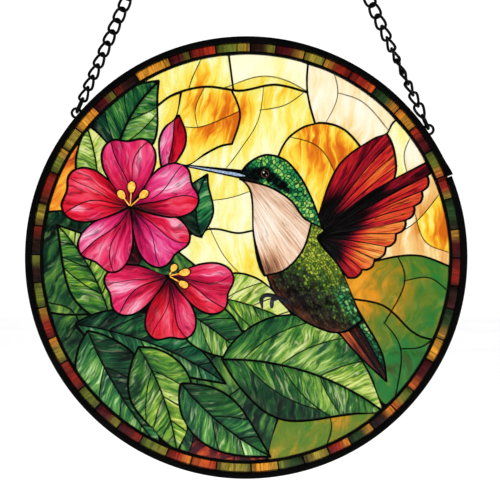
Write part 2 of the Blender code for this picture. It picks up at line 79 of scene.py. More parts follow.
def newObject(name, points, faces, material, smooth=True, ride=True, sharp=None):
    mesh = bpy.data.meshes.new(name)
    mesh.from_pydata([tuple(p) for p in points], [], [tuple(f) for f in faces])
    mesh.validate()
    mesh.update()
    mesh.shade_smooth() if smooth else mesh.shade_flat()
    if sharp:
        mesh.set_sharp_from_angle(angle=math.radians(sharp))
    obj = bpy.data.objects.new(name, mesh)
    bpy.context.scene.collection.objects.link(obj)
    obj.data.materials.append(material)
    if ride:
        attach(obj, "root")
    return obj


def setLook(obj, **looks):
    # what the glass materials read at each point: flow, tone and cast
    for name, values in looks.items():
        values = np.asarray(values, np.float32)
        kind = "FLOAT" if values.ndim == 1 else "FLOAT_VECTOR"
        layer = obj.data.attributes.new(name, kind, "POINT")
        layer.data.foreach_set("value" if kind == "FLOAT" else "vector", values.ravel())


def turnedOver(face, over):
    return face[::-1] if over else face


def outlinesOf(node):
    # boundary loops of a plate's front face, as arrays of (x, z), outer ones anticlockwise
    mesh = nodes[node].data
    co = np.array([v.co for v in mesh.vertices])
    front = co[:, 1].min() + 1e-5
    key = {}
    spots = []
    index = []
    for p in co:
        k = (round(p[0] * 1e6), round(p[2] * 1e6))
        if k not in key:
            key[k] = len(spots)
            spots.append((p[0], p[2]))
        index.append(key[k])
    edges = set()
    for face in mesh.polygons:
        ids = list(face.vertices)
        if all(co[i, 1] < front for i in ids):
            ids = [index[i] for i in ids]
            a, b, c = (spots[i] for i in ids[:3])
            if (b[0] - a[0]) * (c[1] - a[1]) - (c[0] - a[0]) * (b[1] - a[1]) < 0:
                ids = ids[::-1]
            edges |= {(ids[k], ids[(k + 1) % len(ids)]) for k in range(len(ids))}
    onward = {}
    for a, b in sorted(edges):
        if (b, a) not in edges:
            onward.setdefault(a, []).append(b)
    loops = []
    while onward:
        start = here = min(onward)
        loop = []
        while here in onward:
            following = onward[here].pop()
            if not onward[here]:
                del onward[here]
            loop.append(here)
            here = following
            if here == start:
                break
        loops.append(np.array([spots[i] for i in loop]))
    return loops


def areaOf(loop):
    x, z = loop[:, 0], loop[:, 1]
    return 0.5 * float(np.sum(x * np.roll(z, -1) - np.roll(x, -1) * z))


def smoothLoop(loop, corner=48.0, spacing=0.75 * mm):
    # rounds a few-sided outline through its own points, and keeps real corners sharp
    n = len(loop)
    before = loop - np.roll(loop, 1, axis=0)
    after = np.roll(loop, -1, axis=0) - loop
    before = before / np.linalg.norm(before, axis=1)[:, None]
    after = after / np.linalg.norm(after, axis=1)[:, None]
    turn = np.degrees(np.arccos(np.clip((before * after).sum(1), -1, 1)))
    sharp = turn > corner
    out = []
    for i in range(n):
        p1, p2 = loop[i], loop[(i + 1) % n]
        p0 = loop[i - 1] if not sharp[i] else 2 * p1 - p2
        p3 = loop[(i + 2) % n] if not sharp[(i + 1) % n] else 2 * p2 - p1
        gap = np.linalg.norm(p2 - p1)
        d01 = max(np.linalg.norm(p1 - p0), 1e-9)
        d23 = max(np.linalg.norm(p3 - p2), 1e-9)
        # tangents that suit uneven gaps between the points
        m1 = (p2 - p1) / gap * 0.5 + (p1 - p0) / d01 * 0.5
        m2 = (p2 - p1) / gap * 0.5 + (p3 - p2) / d23 * 0.5
        steps = max(1, round(gap / spacing))
        for k in range(steps):
            t = k / steps
            out.append(
                p1 * (2 * t**3 - 3 * t**2 + 1)
                + m1 * gap * (t**3 - 2 * t**2 + t)
                + p2 * (3 * t**2 - 2 * t**3)
                + m2 * gap * (t**3 - t**2)
            )
    return np.array(out)


def curve(*pairs, spacing=0.7 * mm):
    # a smooth open line through places of the picture
    knots = [spot(*p) for p in pairs]
    line = []
    for i in range(len(knots) - 1):
        b, c = knots[i], knots[i + 1]
        a = knots[i - 1] if i else 2 * b - c
        d = knots[i + 2] if i + 2 < len(knots) else 2 * c - b
        steps = max(2, math.ceil(np.linalg.norm(c - b) / spacing))
        for k in range(steps):
            t = k / steps
            here = 2 * b + (c - a) * t + (2 * a - 5 * b + 4 * c - d) * t**2
            line.append(0.5 * (here + (3 * b - a - 3 * c + d) * t**3))
    return np.array(line + [knots[-1]])


def normalsOf(loop):
    # outward normals of an anticlockwise loop, longer at corners so that an offset keeps its width
    before = loop - np.roll(loop, 1, axis=0)
    after = np.roll(loop, -1, axis=0) - loop
    before = before / np.maximum(np.linalg.norm(before, axis=1), 1e-9)[:, None]
    after = after / np.maximum(np.linalg.norm(after, axis=1), 1e-9)[:, None]
    n1 = np.stack([before[:, 1], -before[:, 0]], 1)
    n2 = np.stack([after[:, 1], -after[:, 0]], 1)
    total = n1 + n2
    spread = np.maximum(1 + (n1 * n2).sum(1), 0.55)
    return total / spread[:, None]


def insideLoop(points, loop):
    total = np.zeros(len(points), int)
    for (x0, z0), (x1, z1) in zip(loop, np.roll(loop, -1, axis=0)):
        side = (x1 - x0) * (points[:, 1] - z0) - (points[:, 0] - x0) * (z1 - z0)
        total += (z0 <= points[:, 1]) & (z1 > points[:, 1]) & (side > 0)
        total -= (z0 > points[:, 1]) & (z1 <= points[:, 1]) & (side < 0)
    return total != 0


def insideAny(points, outlines):
    # which points lie inside one of the outlines
    found = np.zeros(len(points), bool)
    for outline in outlines:
        near = ((points > outline.min(0)) & (points < outline.max(0))).all(1)
        found[near] |= insideLoop(points[near], outline)
    return found


def treeOf(points):
    tree = kdtree.KDTree(len(points))
    for k, (x, z) in enumerate(points):
        tree.insert((x, z, 0.0), k)
    tree.balance()
    return tree


def distanceTo(points, loops):
    # distance of each point to the nearest outline, from points close together along them
    close = []
    for loop in loops:
        onward = np.roll(loop, -1, axis=0) - loop
        close += [loop + onward * t for t in (0.0, 0.25, 0.5, 0.75)]
    tree = treeOf(np.concatenate(close))
    return np.array([tree.find((x, z, 0.0))[2] for x, z in points])


def triangulate(loops, extra):
    # triangles between outlines and single points: (points, faces)
    points, edges = [], []
    for loop in loops:
        first = len(points)
        points += [Vector(p) for p in loop]
        edges += [(first + k, first + (k + 1) % len(loop)) for k in range(len(loop))]
    points += [Vector(p) for p in extra]
    spots, _, faces, _, _, _ = delaunay_2d_cdt(points, edges, [], 0, 1e-8, False)
    return np.array([tuple(p) for p in spots]), [tuple(f) for f in faces]


def outAndBack(line):
    # an open line as a closed outline, for distanceTo
    return np.concatenate([line, line[::-1]])


def cutApart(outline, lines, extra):
    # triangles of an outline in parts that end at the cut lines: spots, parts, the edges between
    # parts, and for each line which of its steps part something
    points, edges = [Vector(p) for p in outline], []
    edges += [(k, (k + 1) % len(outline)) for k in range(len(outline))]
    whole = len(edges)
    owner = {}
    for number, line in enumerate(lines):
        first = len(points)
        owner.update({len(edges) + k: (number, k) for k in range(len(line) - 1)})
        points += [Vector(p) for p in line]
        edges += [(first + k, first + k + 1) for k in range(len(line) - 1)]
    points += [Vector(p) for p in extra]
    spots, sides, faces, _, origins, _ = delaunay_2d_cdt(points, edges, [], 0, 1e-8, True)
    spots = np.array([tuple(p) for p in spots])
    cut = {frozenset(s) for s, o in zip(sides, origins) if any(i >= whole for i in o)}
    centres = np.array([spots[list(f)].mean(0) for f in faces])
    kept = [tuple(f) for f, k in zip(faces, insideLoop(centres, outline)) if k]
    beside = {}
    for number, f in enumerate(kept):
        for k in range(3):
            beside.setdefault(frozenset((f[k], f[(k + 1) % 3])), []).append(number)
    part = [None] * len(kept)
    parts = []
    for number in range(len(kept)):
        if part[number] is not None:
            continue
        part[number] = len(parts)
        waiting, members = [number], []
        while waiting:
            here = waiting.pop()
            members.append(here)
            f = kept[here]
            for k in range(3):
                edge = frozenset((f[k], f[(k + 1) % 3]))
                if edge in cut:
                    continue
                for other in beside[edge]:
                    if part[other] is None:
                        part[other] = len(parts)
                        waiting.append(other)
        parts.append([kept[m] for m in sorted(members)])
    between = {e for e in cut if len({part[n] for n in beside.get(e, ())}) == 2}
    steps = [np.zeros(len(line), bool) for line in lines]
    for s, o in zip(sides, origins):
        if frozenset(s) in between:
            for i in o:
                if i in owner:
                    number, k = owner[i]
                    steps[number][k:k + 2] = True
    parts.sort(key=lambda part: tuple(
        np.round(spots[sorted({i for f in part for i in f})].mean(0) * 1e4)
    ))
    return spots, parts, between, steps


def drawnBack(spots, faces, cut, gap):
    # the same spots, with those on a cut line moved a little into this part
    moved = spots.copy()
    push = {}
    for f in faces:
        middle = spots[list(f)].mean(0)
        for k in range(3):
            a, b = f[k], f[(k + 1) % 3]
            if frozenset((a, b)) in cut:
                run = spots[b] - spots[a]
                side = np.array([-run[1], run[0]]) / max(np.linalg.norm(run), 1e-9)
                if (middle - spots[a]) @ side < 0:
                    side = -side
                for i in (a, b):
                    push[i] = push.get(i, 0) + side
    for i, way in push.items():
        moved[i] += way / max(np.linalg.norm(way), 1e-9) * gap
    return moved


def plateFrom(spots, faces, front, back):
    # a closed plate: front and back heights over the same triangles, and walls round the rims
    used = sorted({i for f in faces for i in f})
    place = {old: new for new, old in enumerate(used)}
    count = len(used)
    points = [(spots[i][0], front[i], spots[i][1]) for i in used]
    points += [(spots[i][0], back[i], spots[i][1]) for i in used]
    out = []
    edges = set()
    for f in faces:
        f = tuple(place[i] for i in f)
        out.append(f)
        out.append(tuple(i + count for i in f[::-1]))
        edges |= {(f[k], f[(k + 1) % 3]) for k in range(3)}
    for a, b in sorted(edges):
        if (b, a) not in edges:
            out.append((b, a, a + count, b + count))
    return points, out, used


def hexPoints(loop, step, seed):
    # a jittered triangular grid inside an outline's box
    dice = np.random.default_rng(seed)
    low, high = loop.min(0), loop.max(0)
    rows = int((high[1] - low[1]) / (step * 0.866)) + 2  # a row of triangles is so much lower
    columns = int((high[0] - low[0]) / step) + 2
    grid = np.array([
        (low[0] + (c + 0.5 * (r % 2)) * step, low[1] + r * step * 0.866)
        for r in range(rows) for c in range(columns)
    ])
    return grid + dice.uniform(-0.12, 0.12, grid.shape) * step


def ripple(points, seed, size=9.0 * mm):
    # slow unevenness of hand-rolled glass, from four waves that cross
    dice = random.Random(seed)
    total = np.zeros(len(points))
    for _ in range(4):
        turn = dice.uniform(0, math.tau)
        wave = dice.uniform(0.7, 1.5) * size
        phase = dice.uniform(0, math.tau)
        way = points[:, 0] * math.cos(turn) + points[:, 1] * math.sin(turn)
        total += np.sin(way * math.tau / wave + phase)
    return total / 4


class Wires:
    # one material or group being wired up
    def __init__(self, tree):
        self.tree = tree

    def node(self, kind, **settings):
        made = self.tree.nodes.new(kind)
        for key, value in settings.items():
            setattr(made, key, value)
        return made

    def link(self, a, b):
        self.tree.links.new(a, b)

    def feed(self, socket, value):
        if hasattr(value, "is_output"):
            self.link(value, socket)
        else:
            socket.default_value = value

    def math(self, operation, a, b=0.0, clamp=False):
        made = self.node("ShaderNodeMath", operation=operation, use_clamp=clamp)
        self.feed(made.inputs[0], a)
        self.feed(made.inputs[1], b)
        return made.outputs[0]

    def vector(self, operation, a, b=(0, 0, 0)):
        made = self.node("ShaderNodeVectorMath", operation=operation)
        self.feed(made.inputs[0], a)
        self.feed(made.inputs[1], b)
        return made.outputs[0]

    def split(self, vector):
        made = self.node("ShaderNodeSeparateXYZ")
        self.link(vector, made.inputs[0])
        return made.outputs

    def join(self, x, y, z):
        made = self.node("ShaderNodeCombineXYZ")
        for socket, value in zip(made.inputs, (x, y, z)):
            self.feed(socket, value)
        return made.outputs[0]

    def spread(self, value, low, high, toLow=0.0, toHigh=1.0, smooth=False):
        change = "SMOOTHSTEP" if smooth else "LINEAR"
        made = self.node("ShaderNodeMapRange", interpolation_type=change)
        for socket, v in zip(made.inputs[:5], (value, low, high, toLow, toHigh)):
            self.feed(socket, v)
        return made.outputs[0]

    def noise(self, vector, scale, detail=3.0, roughness=0.55, distortion=0.0):
        made = self.node("ShaderNodeTexNoise")
        self.feed(made.inputs["Vector"], vector)
        self.feed(made.inputs["Scale"], scale)
        self.feed(made.inputs["Detail"], detail)
        self.feed(made.inputs["Roughness"], roughness)
        self.feed(made.inputs["Distortion"], distortion)
        return made.outputs["Fac"]

    def ramp(self, factor, stops, interpolation="LINEAR"):
        made = self.node("ShaderNodeValToRGB")
        made.color_ramp.interpolation = interpolation
        elements = made.color_ramp.elements
        elements[0].position, elements[0].color = stops[0][0], (*stops[0][1], 1)
        elements[1].position, elements[1].color = stops[-1][0], (*stops[-1][1], 1)
        for place, colour in stops[1:-1]:
            element = elements.new(place)
            element.color = (*colour, 1)
        self.feed(made.inputs[0], factor)
        return made.outputs[0]

    def blend(self, factor, a, b, mode="MIX"):
        made = self.node("ShaderNodeMix", data_type="RGBA", blend_type=mode)
        self.feed(made.inputs[0], factor)
        for socket, value in ((made.inputs[6], a), (made.inputs[7], b)):
            if not hasattr(value, "is_output"):
                value = (*value, 1)
            self.feed(socket, value)
        return made.outputs[2]

    def attribute(self, name, vector=False):
        made = self.node("ShaderNodeAttribute", attribute_name=name)
        return made.outputs["Vector" if vector else "Fac"]

    def group(self, tree, **values):
        made = self.node("ShaderNodeGroup", node_tree=tree)
        for name, value in values.items():
            self.feed(made.inputs[name], value)
        return made.outputs


def startGroup(name, inputs, outputs):
    tree = bpy.data.node_groups.new(name, "ShaderNodeTree")
    for label, kind, value in inputs:
        socket = tree.interface.new_socket(label, in_out="INPUT", socket_type=kind)
        if value is not None:
            socket.default_value = value
    for label, kind in outputs:
        tree.interface.new_socket(label, in_out="OUTPUT", socket_type=kind)
    w = Wires(tree)
    return tree, w, w.node("NodeGroupInput").outputs, w.node("NodeGroupOutput").inputs


def startMaterial(name, **values):
    material = bpy.data.materials.new(name)
    material.use_nodes = True
    w = Wires(material.node_tree)
    shader = material.node_tree.nodes["Principled BSDF"]
    for key, value in values.items():
        shader.inputs[key].default_value = value
    return material, w, shader


def bumpInto(w, shader, height, strength, distance):
    bump = w.node("ShaderNodeBump")
    bump.inputs["Strength"].default_value = strength
    bump.inputs["Distance"].default_value = distance
    w.link(height, bump.inputs["Height"])
    w.link(bump.outputs[0], shader.inputs["Normal"])


def makeStreaks():
    # colour drawn out along the flow of a piece: long soft bands and fine threads
    tree, w, given, result = startGroup(
        "pulledStreaks",
        [
            ("Flow", "NodeSocketVector", None),
            ("Across", "NodeSocketFloat", 3.0),
            ("Along", "NodeSocketFloat", 14.0),
            ("Wander", "NodeSocketFloat", 1.2),
        ],
        [
            ("Bands", "NodeSocketFloat"),
            ("Threads", "NodeSocketFloat"),
            ("Creases", "NodeSocketFloat"),
            ("Flashes", "NodeSocketFloat"),
            ("Height", "NodeSocketFloat"),
        ],
    )
    x, y, z = w.split(given["Flow"])
    drift = w.noise(w.join(w.math("DIVIDE", x, 9.0), w.math("DIVIDE", y, 12.0), z), 1.0, 2.0)
    most = w.math("MULTIPLY", given["Wander"], given["Across"])
    drift = w.math("MULTIPLY", w.math("SUBTRACT", drift, 0.5), most)
    across = w.math("ADD", x, w.math("MULTIPLY", drift, 2.0))

    def stretched(wide, long, shift):
        # the same streaks at another width and length, shifted so that they don't repeat
        return w.join(
            w.math("DIVIDE", across, w.math("MULTIPLY", given["Across"], wide)),
            w.math("DIVIDE", y, w.math("MULTIPLY", given["Along"], long)),
            w.math("ADD", z, shift),
        )

    bands = w.spread(w.noise(stretched(1.0, 1.0, 0.0), 1.0, 3.0, 0.55, 0.4), 0.32, 0.68)
    threads = w.spread(w.noise(stretched(0.22, 0.7, 7.3), 1.0, 2.0, 0.6, 0.2), 0.3, 0.7)
    lines = w.noise(stretched(0.9, 1.5, 3.1), 1.0, 2.0, 0.5, 0.3)
    ridge = w.math("ABSOLUTE", w.math("SUBTRACT", lines, 0.5))
    strokes = w.noise(stretched(0.6, 0.45, 11.9), 1.0, 2.0, 0.5, 0.6)
    height = w.math("ADD", w.math("MULTIPLY", bands, 0.6), w.math("MULTIPLY", threads, 0.4))
    w.link(bands, result["Bands"])
    w.link(threads, result["Threads"])
    w.link(w.spread(ridge, 0.0, 0.028, 1.0, 0.0, smooth=True), result["Creases"])
    w.link(w.spread(strokes, 0.54, 0.74, smooth=True), result["Flashes"])
    w.link(height, result["Height"])
    return tree


def makeSeeds():
    # small bubbles and dimples in rolled glass, and a slow cloud of colour
    tree, w, given, result = startGroup(
        "seedsInGlass",
        [("Place", "NodeSocketVector", None), ("Size", "NodeSocketFloat", 1.0)],
        [("Height", "NodeSocketFloat"), ("Cloud", "NodeSocketFloat")],
    )
    small = w.vector("MULTIPLY", given["Place"], (160.0, 160.0, 160.0))
    large = w.vector("MULTIPLY", given["Place"], (45.0, 45.0, 45.0))
    w.link(w.noise(small, given["Size"], 3.0, 0.6), result["Height"])
    w.link(w.spread(w.noise(large, given["Size"], 4.0, 0.6, 0.6), 0.3, 0.7), result["Cloud"])
    return tree


def makeWear():
    # fine grain and handled patches of black metal
    tree, w, given, result = startGroup(
        "handledBlack",
        [("Scale", "NodeSocketFloat", 600.0)],
        [("Grain", "NodeSocketFloat"), ("Rub", "NodeSocketFloat")],
    )
    place = w.node("ShaderNodeTexCoord").outputs["Object"]
    w.link(w.noise(place, given["Scale"], 4.0, 0.65), result["Grain"])
    w.link(w.spread(w.noise(place, 90.0, 3.0, 0.6), 0.35, 0.7), result["Rub"])
    return tree


streaks = makeStreaks()
seeds = makeSeeds()
wear = makeWear()

# clear enough to glow with the light behind it
glassFinish = {
    "IOR": 1.25,
    "Transmission Weight": 0.86,
    "Roughness": 0.14,
    "Specular IOR Level": 0.3,
}
glassRelief = {"strength": 0.22, "distance": 0.4 * mm}


def glassMaterial(name, pull, colour):
    # pull: width and length of the streaks in mm, and how far they wander
    # colour(w, look) gives the base colour of this kind of glass from what varies over it
    material, w, shader = startMaterial(name, **glassFinish)
    flow = w.attribute("flow", vector=True)
    s = w.group(streaks, Flow=flow, Across=pull[0], Along=pull[1], Wander=pull[2])
    place = w.node("ShaderNodeTexCoord").outputs["Object"]
    g = w.group(seeds, Place=place)
    look = {
        "tone": w.attribute("tone"),
        "cast": w.attribute("cast"),
        "flow": flow,
        "bands": s["Bands"],
        "threads": s["Threads"],
        "creases": s["Creases"],
        "flashes": s["Flashes"],
        "place": place,
        "cloud": g["Cloud"],
    }
    w.link(colour(w, look), shader.inputs["Base Color"])
    pulled, seedy = (w.math("MULTIPLY", made["Height"], 0.5) for made in (s, g))
    height = w.math("ADD", pulled, seedy)
    bumpInto(w, shader, height, **glassRelief)
    return material


def depthOf(w, look, shares):
    # tone pushed up and down by the textures, each by its share
    depth = look["tone"]
    for key, share in shares.items():
        push = w.math("MULTIPLY", w.math("SUBTRACT", look[key], 0.5), share)
        depth = w.math("ADD", depth, push)
    return w.math("ADD", depth, 0.0, clamp=True)


def darken(w, colour, amount, mask):
    shade = w.math("SUBTRACT", 1.0, w.math("MULTIPLY", mask, amount))
    return w.blend(1.0, colour, w.join(shade, shade, shade), "MULTIPLY")


def paintAt(w, look, x, z, radius, soft):
    # a round dab of paint at a place of the picture, 1 inside and 0 outside
    middle = (x * unit, 0.0, z * unit + centreZ)
    dx, _, dz = w.split(w.vector("SUBTRACT", look["place"], middle))
    far = w.math("SQRT", w.math("ADD", w.math("MULTIPLY", dx, dx), w.math("MULTIPLY", dz, dz)))
    return w.spread(far, (radius - soft) * mm, (radius + soft) * mm, 1.0, 0.0, smooth=True)


def scalesOf(w, look, scales):
    # small feathers that overlap like scales, each with its own depth and a dark edge
    x, y, z = w.split(look["flow"])
    size = scales["size"]
    place = w.join(w.math("DIVIDE", x, size), w.math("DIVIDE", y, size * 1.25), z)
    cells = w.node("ShaderNodeTexVoronoi", feature="DISTANCE_TO_EDGE")
    whole = w.node("ShaderNodeTexVoronoi", feature="F1")
    for made in (cells, whole):
        w.link(place, made.inputs["Vector"])
        made.inputs["Scale"].default_value = 1.0
        made.inputs["Randomness"].default_value = 0.8
    own = w.math("SUBTRACT", w.split(whole.outputs["Color"])[0], 0.5)
    own = w.math("MULTIPLY", own, scales["spread"])
    depth = w.math("ADD", depthOf(w, look, {"bands": 0.24, "threads": 0.12}), own, clamp=True)
    inside = w.spread(cells.outputs["Distance"], 0.03, 0.20, smooth=True)
    edge = w.math("SUBTRACT", 1.0, inside)
    return darken(w, w.ramp(depth, scales["colours"]), scales["darkEdge"], edge)


def ribLine(base, tip, bend, count=60):
    start, end = spot(*base), spot(*tip)
    run = end - start
    across = np.array([-run[1], run[0]]) / np.linalg.norm(run)
    middle = (start + end) / 2 + across * (bend * 2 * unit)
    t = np.linspace(0, 1, count)[:, None]
    return start * (1 - t) ** 2 + middle * 2 * t * (1 - t) + end * t**2


def alongLine(points, line):
    # signed distance from a line in mm, and the way along it in mm, for each point
    steps = np.diff(line, axis=0)
    lengths = np.linalg.norm(steps, axis=1)
    ends = np.concatenate([[0], np.cumsum(lengths)])
    best = np.full(len(points), 1e9)
    across = np.zeros(len(points))
    along = np.zeros(len(points))
    for k in range(len(steps)):
        run = steps[k] / lengths[k]
        off = points - line[k]
        t = np.clip(off @ run, 0, lengths[k])
        gap = off - np.outer(t, run)
        far = np.linalg.norm(gap, axis=1)
        side = run[0] * off[:, 1] - run[1] * off[:, 0]
        closer = far < best
        best[closer] = far[closer]
        across[closer] = np.sign(side[closer]) * far[closer]
        along[closer] = ends[k] + t[closer]
    return across / mm, along / mm, ends[-1] / mm


def about(points, x, z):
    off = points - spot(x, z)
    return np.degrees(np.arctan2(off[:, 1], off[:, 0])), np.linalg.norm(off, axis=1) / mm


def patches(points, spots):
    # soft round patches of deeper or paler colour: (x, z, radius, amount)
    total = np.zeros(len(points))
    for x, z, radius, amount in spots:
        far = np.linalg.norm(points - spot(x, z), axis=1) / (radius * unit)
        total += amount * np.exp(-far**2)
    return total


def spreadAlong(line, count):
    lengths = np.concatenate([[0], np.cumsum(np.linalg.norm(np.diff(line, axis=0), axis=1))])
    stops = np.linspace(0, lengths[-1], count + 1)
    return np.stack([np.interp(stops, lengths, line[:, k]) for k in (0, 1)], 1)


def slanted(points, dice, low, high):
    # streaks run one way over the whole piece, a little off upright
    turn = math.radians(dice.uniform(low, high))
    run = np.array([math.cos(turn), math.sin(turn)])
    side = np.array([run[1], -run[0]])
    return points @ side / mm, points @ run / mm


# Each kind of glass has a dictionary, its colours as a material, and how they run over a pane.
# A run gives, in mm, the way across and along the streaks, then tone and cast for each point.

sky = {  # cream through lemon and gold to deep amber, and peach where cast is set
    "pull": (3.6, 22.0, 1.1),
    "shares": {"bands": 0.12, "cloud": 0.24, "threads": 0.06},
    "flame": 1.1,  # how much streakier the deep ambers are
    "cream": shades(
        (0.0, 254, 250, 216), (0.14, 249, 244, 176), (0.28, 245, 236, 124), (0.44, 249, 220, 74),
        (0.6, 246, 190, 44), (0.78, 238, 146, 30), (1.0, 214, 104, 20),
    ),
    "peach": shades(
        (0.0, 255, 248, 232), (0.2, 252, 236, 200), (0.45, 244, 206, 138), (1.0, 226, 146, 58),
    ),
    "slant": (72, 108),
    "tones": {
        "sky_1": 0.36, "sky_3": 0.32, "sky_4": 0.18, "sky_6": 0.20, "sky_8": 0.44, "sky_9": 0.20,
        "sky_11": 0.34,
    },
    "tone": 0.25,
    "toneSpread": (-0.09, 0.13),
    "patches": [
        (-24, 78, 12, 0.32), (-14, 66, 14, 0.36), (-3, 74, 9, 0.30), (14, 78, 12, 0.12),
        (44, 52, 14, 0.38), (32, 62, 10, 0.20), (94, 14, 14, 0.42), (66, 42, 9, 0.35),
        (8, -4, 12, 0.34), (4, 26, 18, -0.10), (-25, 52, 10, -0.16), (-4, 98, 16, -0.10),
        (60, 76, 22, -0.16), (80, 56, 10, -0.10),
    ],
    "peachCast": 0.9,
    "peachShare": 0.6,
}


def skyColour(w, look):
    ruffle = w.math("MULTIPLY", look["tone"], sky["flame"])
    flame = w.math("MULTIPLY", w.math("SUBTRACT", look["bands"], 0.5), ruffle)
    depth = w.math("ADD", depthOf(w, look, sky["shares"]), flame, clamp=True)
    return w.blend(look["cast"], w.ramp(depth, sky["cream"]), w.ramp(depth, sky["peach"]))


def runOfSky(name, points, dice):
    across, along = slanted(points, dice, *sky["slant"])
    tone = sky["tones"].get(name, sky["tone"]) + patches(points, sky["patches"])
    tone = tone + dice.uniform(*sky["toneSpread"])
    x, z = drawnPlace(*points.mean(0))
    # peach at the upper right, and here and there further down that side
    peach = (x > 26 and z > 66) or (x > 62 and z > 0 and dice.random() < sky["peachShare"])
    return across, along, tone - 0.06 * (z > 66), sky["peachCast"] if peach else 0.0


field = {  # amber at the bird, then olive, grass green and a cold green at the rim
    "pull": (5.0, 19.0, 1.4),
    "shares": {"cloud": 0.32, "bands": 0.28, "threads": 0.08},
    "colours": shades(
        (0.0, 246, 178, 52), (0.18, 226, 148, 32), (0.34, 156, 132, 32), (0.48, 106, 128, 38),
        (0.62, 64, 122, 42), (0.78, 30, 124, 56), (0.9, 62, 92, 36), (1.0, 44, 52, 22),
    ),
    "flashes": (ink(226, 176, 60), ink(96, 170, 96)),
    "flashShare": 0.24,
    "slant": (50, 110),
    "tones": {"field_3": 0.48},
    "tone": 0.56,
    "toneSpread": (-0.08, 0.10),
    "patches": [
        (54, -16, 24, -0.42), (92, -24, 16, 0.08), (84, -52, 16, 0.14), (64, -62, 12, 0.12),
        (44, -84, 10, -0.10),
    ],
}


def fieldColour(w, look):
    colour = w.ramp(depthOf(w, look, field["shares"]), field["colours"])
    lit = w.blend(look["cloud"], *field["flashes"])
    return w.blend(w.math("MULTIPLY", look["flashes"], field["flashShare"]), colour, lit)


def runOfField(name, points, dice):
    across, along = slanted(points, dice, *field["slant"])
    tone = field["tones"].get(name, field["tone"]) + patches(points, field["patches"])
    return across, along, tone + dice.uniform(*field["toneSpread"]), 0


leaf = {  # warm and cold greens, with pale flashes and dark side creases
    "pull": (2.7, 15.0, 1.3),
    "shares": {"bands": 0.50, "threads": 0.30, "cloud": 0.36},
    "warm": shades(
        (0.0, 226, 232, 140), (0.18, 172, 198, 70), (0.36, 104, 154, 44), (0.54, 46, 112, 36),
        (0.74, 18, 66, 30), (1.0, 6, 26, 16),
    ),
    "cold": shades(
        (0.0, 196, 226, 170), (0.18, 104, 170, 92), (0.36, 42, 126, 66), (0.54, 16, 90, 56),
        (0.74, 8, 52, 40), (1.0, 4, 20, 18),
    ),
    "flashes": (ink(238, 240, 176), ink(176, 214, 164)),
    "crease": 0.6,
    "sideTone": 0.13,  # one half of a leaf is deeper than the other by twice this
    "toneSpread": 0.13,
    "castSpread": 0.25,
}
leaves = {  # rib from foot to tip with its bend; tone; how cold; deeper side; where veins start
    "leaf_top": {
        "rib": ((-66, 44), (-43, 87), 4), "tone": 0.46, "cold": 0.7, "veins": (0.22, 0.52),
    },
    "leaf_left_high": {"rib": ((-73, 28), (-79, 66), -2), "tone": 0.18, "cold": 0.1},
    "leaf_left_low": {
        "rib": ((-66, -34), (-93, 16), -4), "tone": 0.36, "cold": 0.2, "veins": (0.3, 0.55, 0.78),
    },
    "leaf_by_bird": {"rib": ((-22, 10), (-19, 41), 4), "tone": 0.56, "cold": 0.8},
    "leaf_long": {
        "rib": ((-84, -33), (-10, -62), 5), "tone": 0.56, "cold": 0.9,
        "veins": (0.22, 0.42, 0.62, 0.8),
    },
    "leaf_corner": {
        "rib": ((-78, -36), (-42, -94), -3), "tone": 0.46, "cold": 0.6, "veins": (0.3, 0.55, 0.78),
    },
    "leaf_low": {
        "rib": ((-53, -44), (-34, -96), 3), "tone": 0.34, "cold": 0.15, "side": -1,
        "veins": (0.25, 0.5, 0.72),
    },
    "leaf_under": {
        "rib": ((-26, -18), (26, -34), 3), "tone": 0.20, "cold": 0.1, "side": -1,
        "veins": (0.3, 0.55, 0.78),
    },
    "leaf_middle": {
        "rib": ((-38, -22), (4, -53), 2), "tone": 0.50, "cold": 0.6, "veins": (0.35, 0.65),
    },
    "leaf_foot": {
        "rib": ((-32, -62), (12, -98), -3), "tone": 0.49, "cold": 0.6, "veins": (0.4, 0.7),
    },
    "leaf_big": {
        "rib": ((-12, -50), (68, -76), 7), "tone": 0.38, "cold": 0.3, "side": -1,
        "toneSpread": 0.20, "veins": (0.12, 0.34, 0.58), "veinLean": 50.0, "veinSteps": 50,
    },
}


def leafColour(w, look):
    depth = depthOf(w, look, leaf["shares"])
    colour = w.blend(look["cast"], w.ramp(depth, leaf["warm"]), w.ramp(depth, leaf["cold"]))
    pale = w.blend(look["cast"], *leaf["flashes"])
    lit = w.math("MULTIPLY", look["flashes"], w.spread(look["tone"], 0.25, 0.85, 0.75, 0.10))
    return w.blend(lit, darken(w, colour, leaf["crease"], look["creases"]), pale)


def runOfLeaf(name, points, dice):
    own = next(leaves[key] for key in leaves if name.startswith(key))
    across, along, length = alongLine(points, ribLine(*own["rib"]))
    way = np.abs(across)
    veins = along - 0.85 * way + 0.018 * way**2  # side veins leave the rib at a slant and bend on
    side = 1 if across.mean() > 0 else -1
    most = own.get("toneSpread", leaf["toneSpread"])
    tone = own["tone"] + side * own.get("side", 1) * leaf["sideTone"]
    tone = tone + dice.uniform(-most, most)
    # deeper along the rib, towards the foot and near the rim of the leaf
    tone = tone + 0.16 * np.exp(-((way / 1.3) ** 2)) + 0.16 * (0.5 - along / length)
    tone = tone + 0.20 * np.clip((way - 7) / 8, 0, 1)
    cast = own["cold"] + dice.uniform(-leaf["castSpread"], leaf["castSpread"])
    return veins, way + 20 * (side > 0), tone, np.clip(cast, 0, 1)


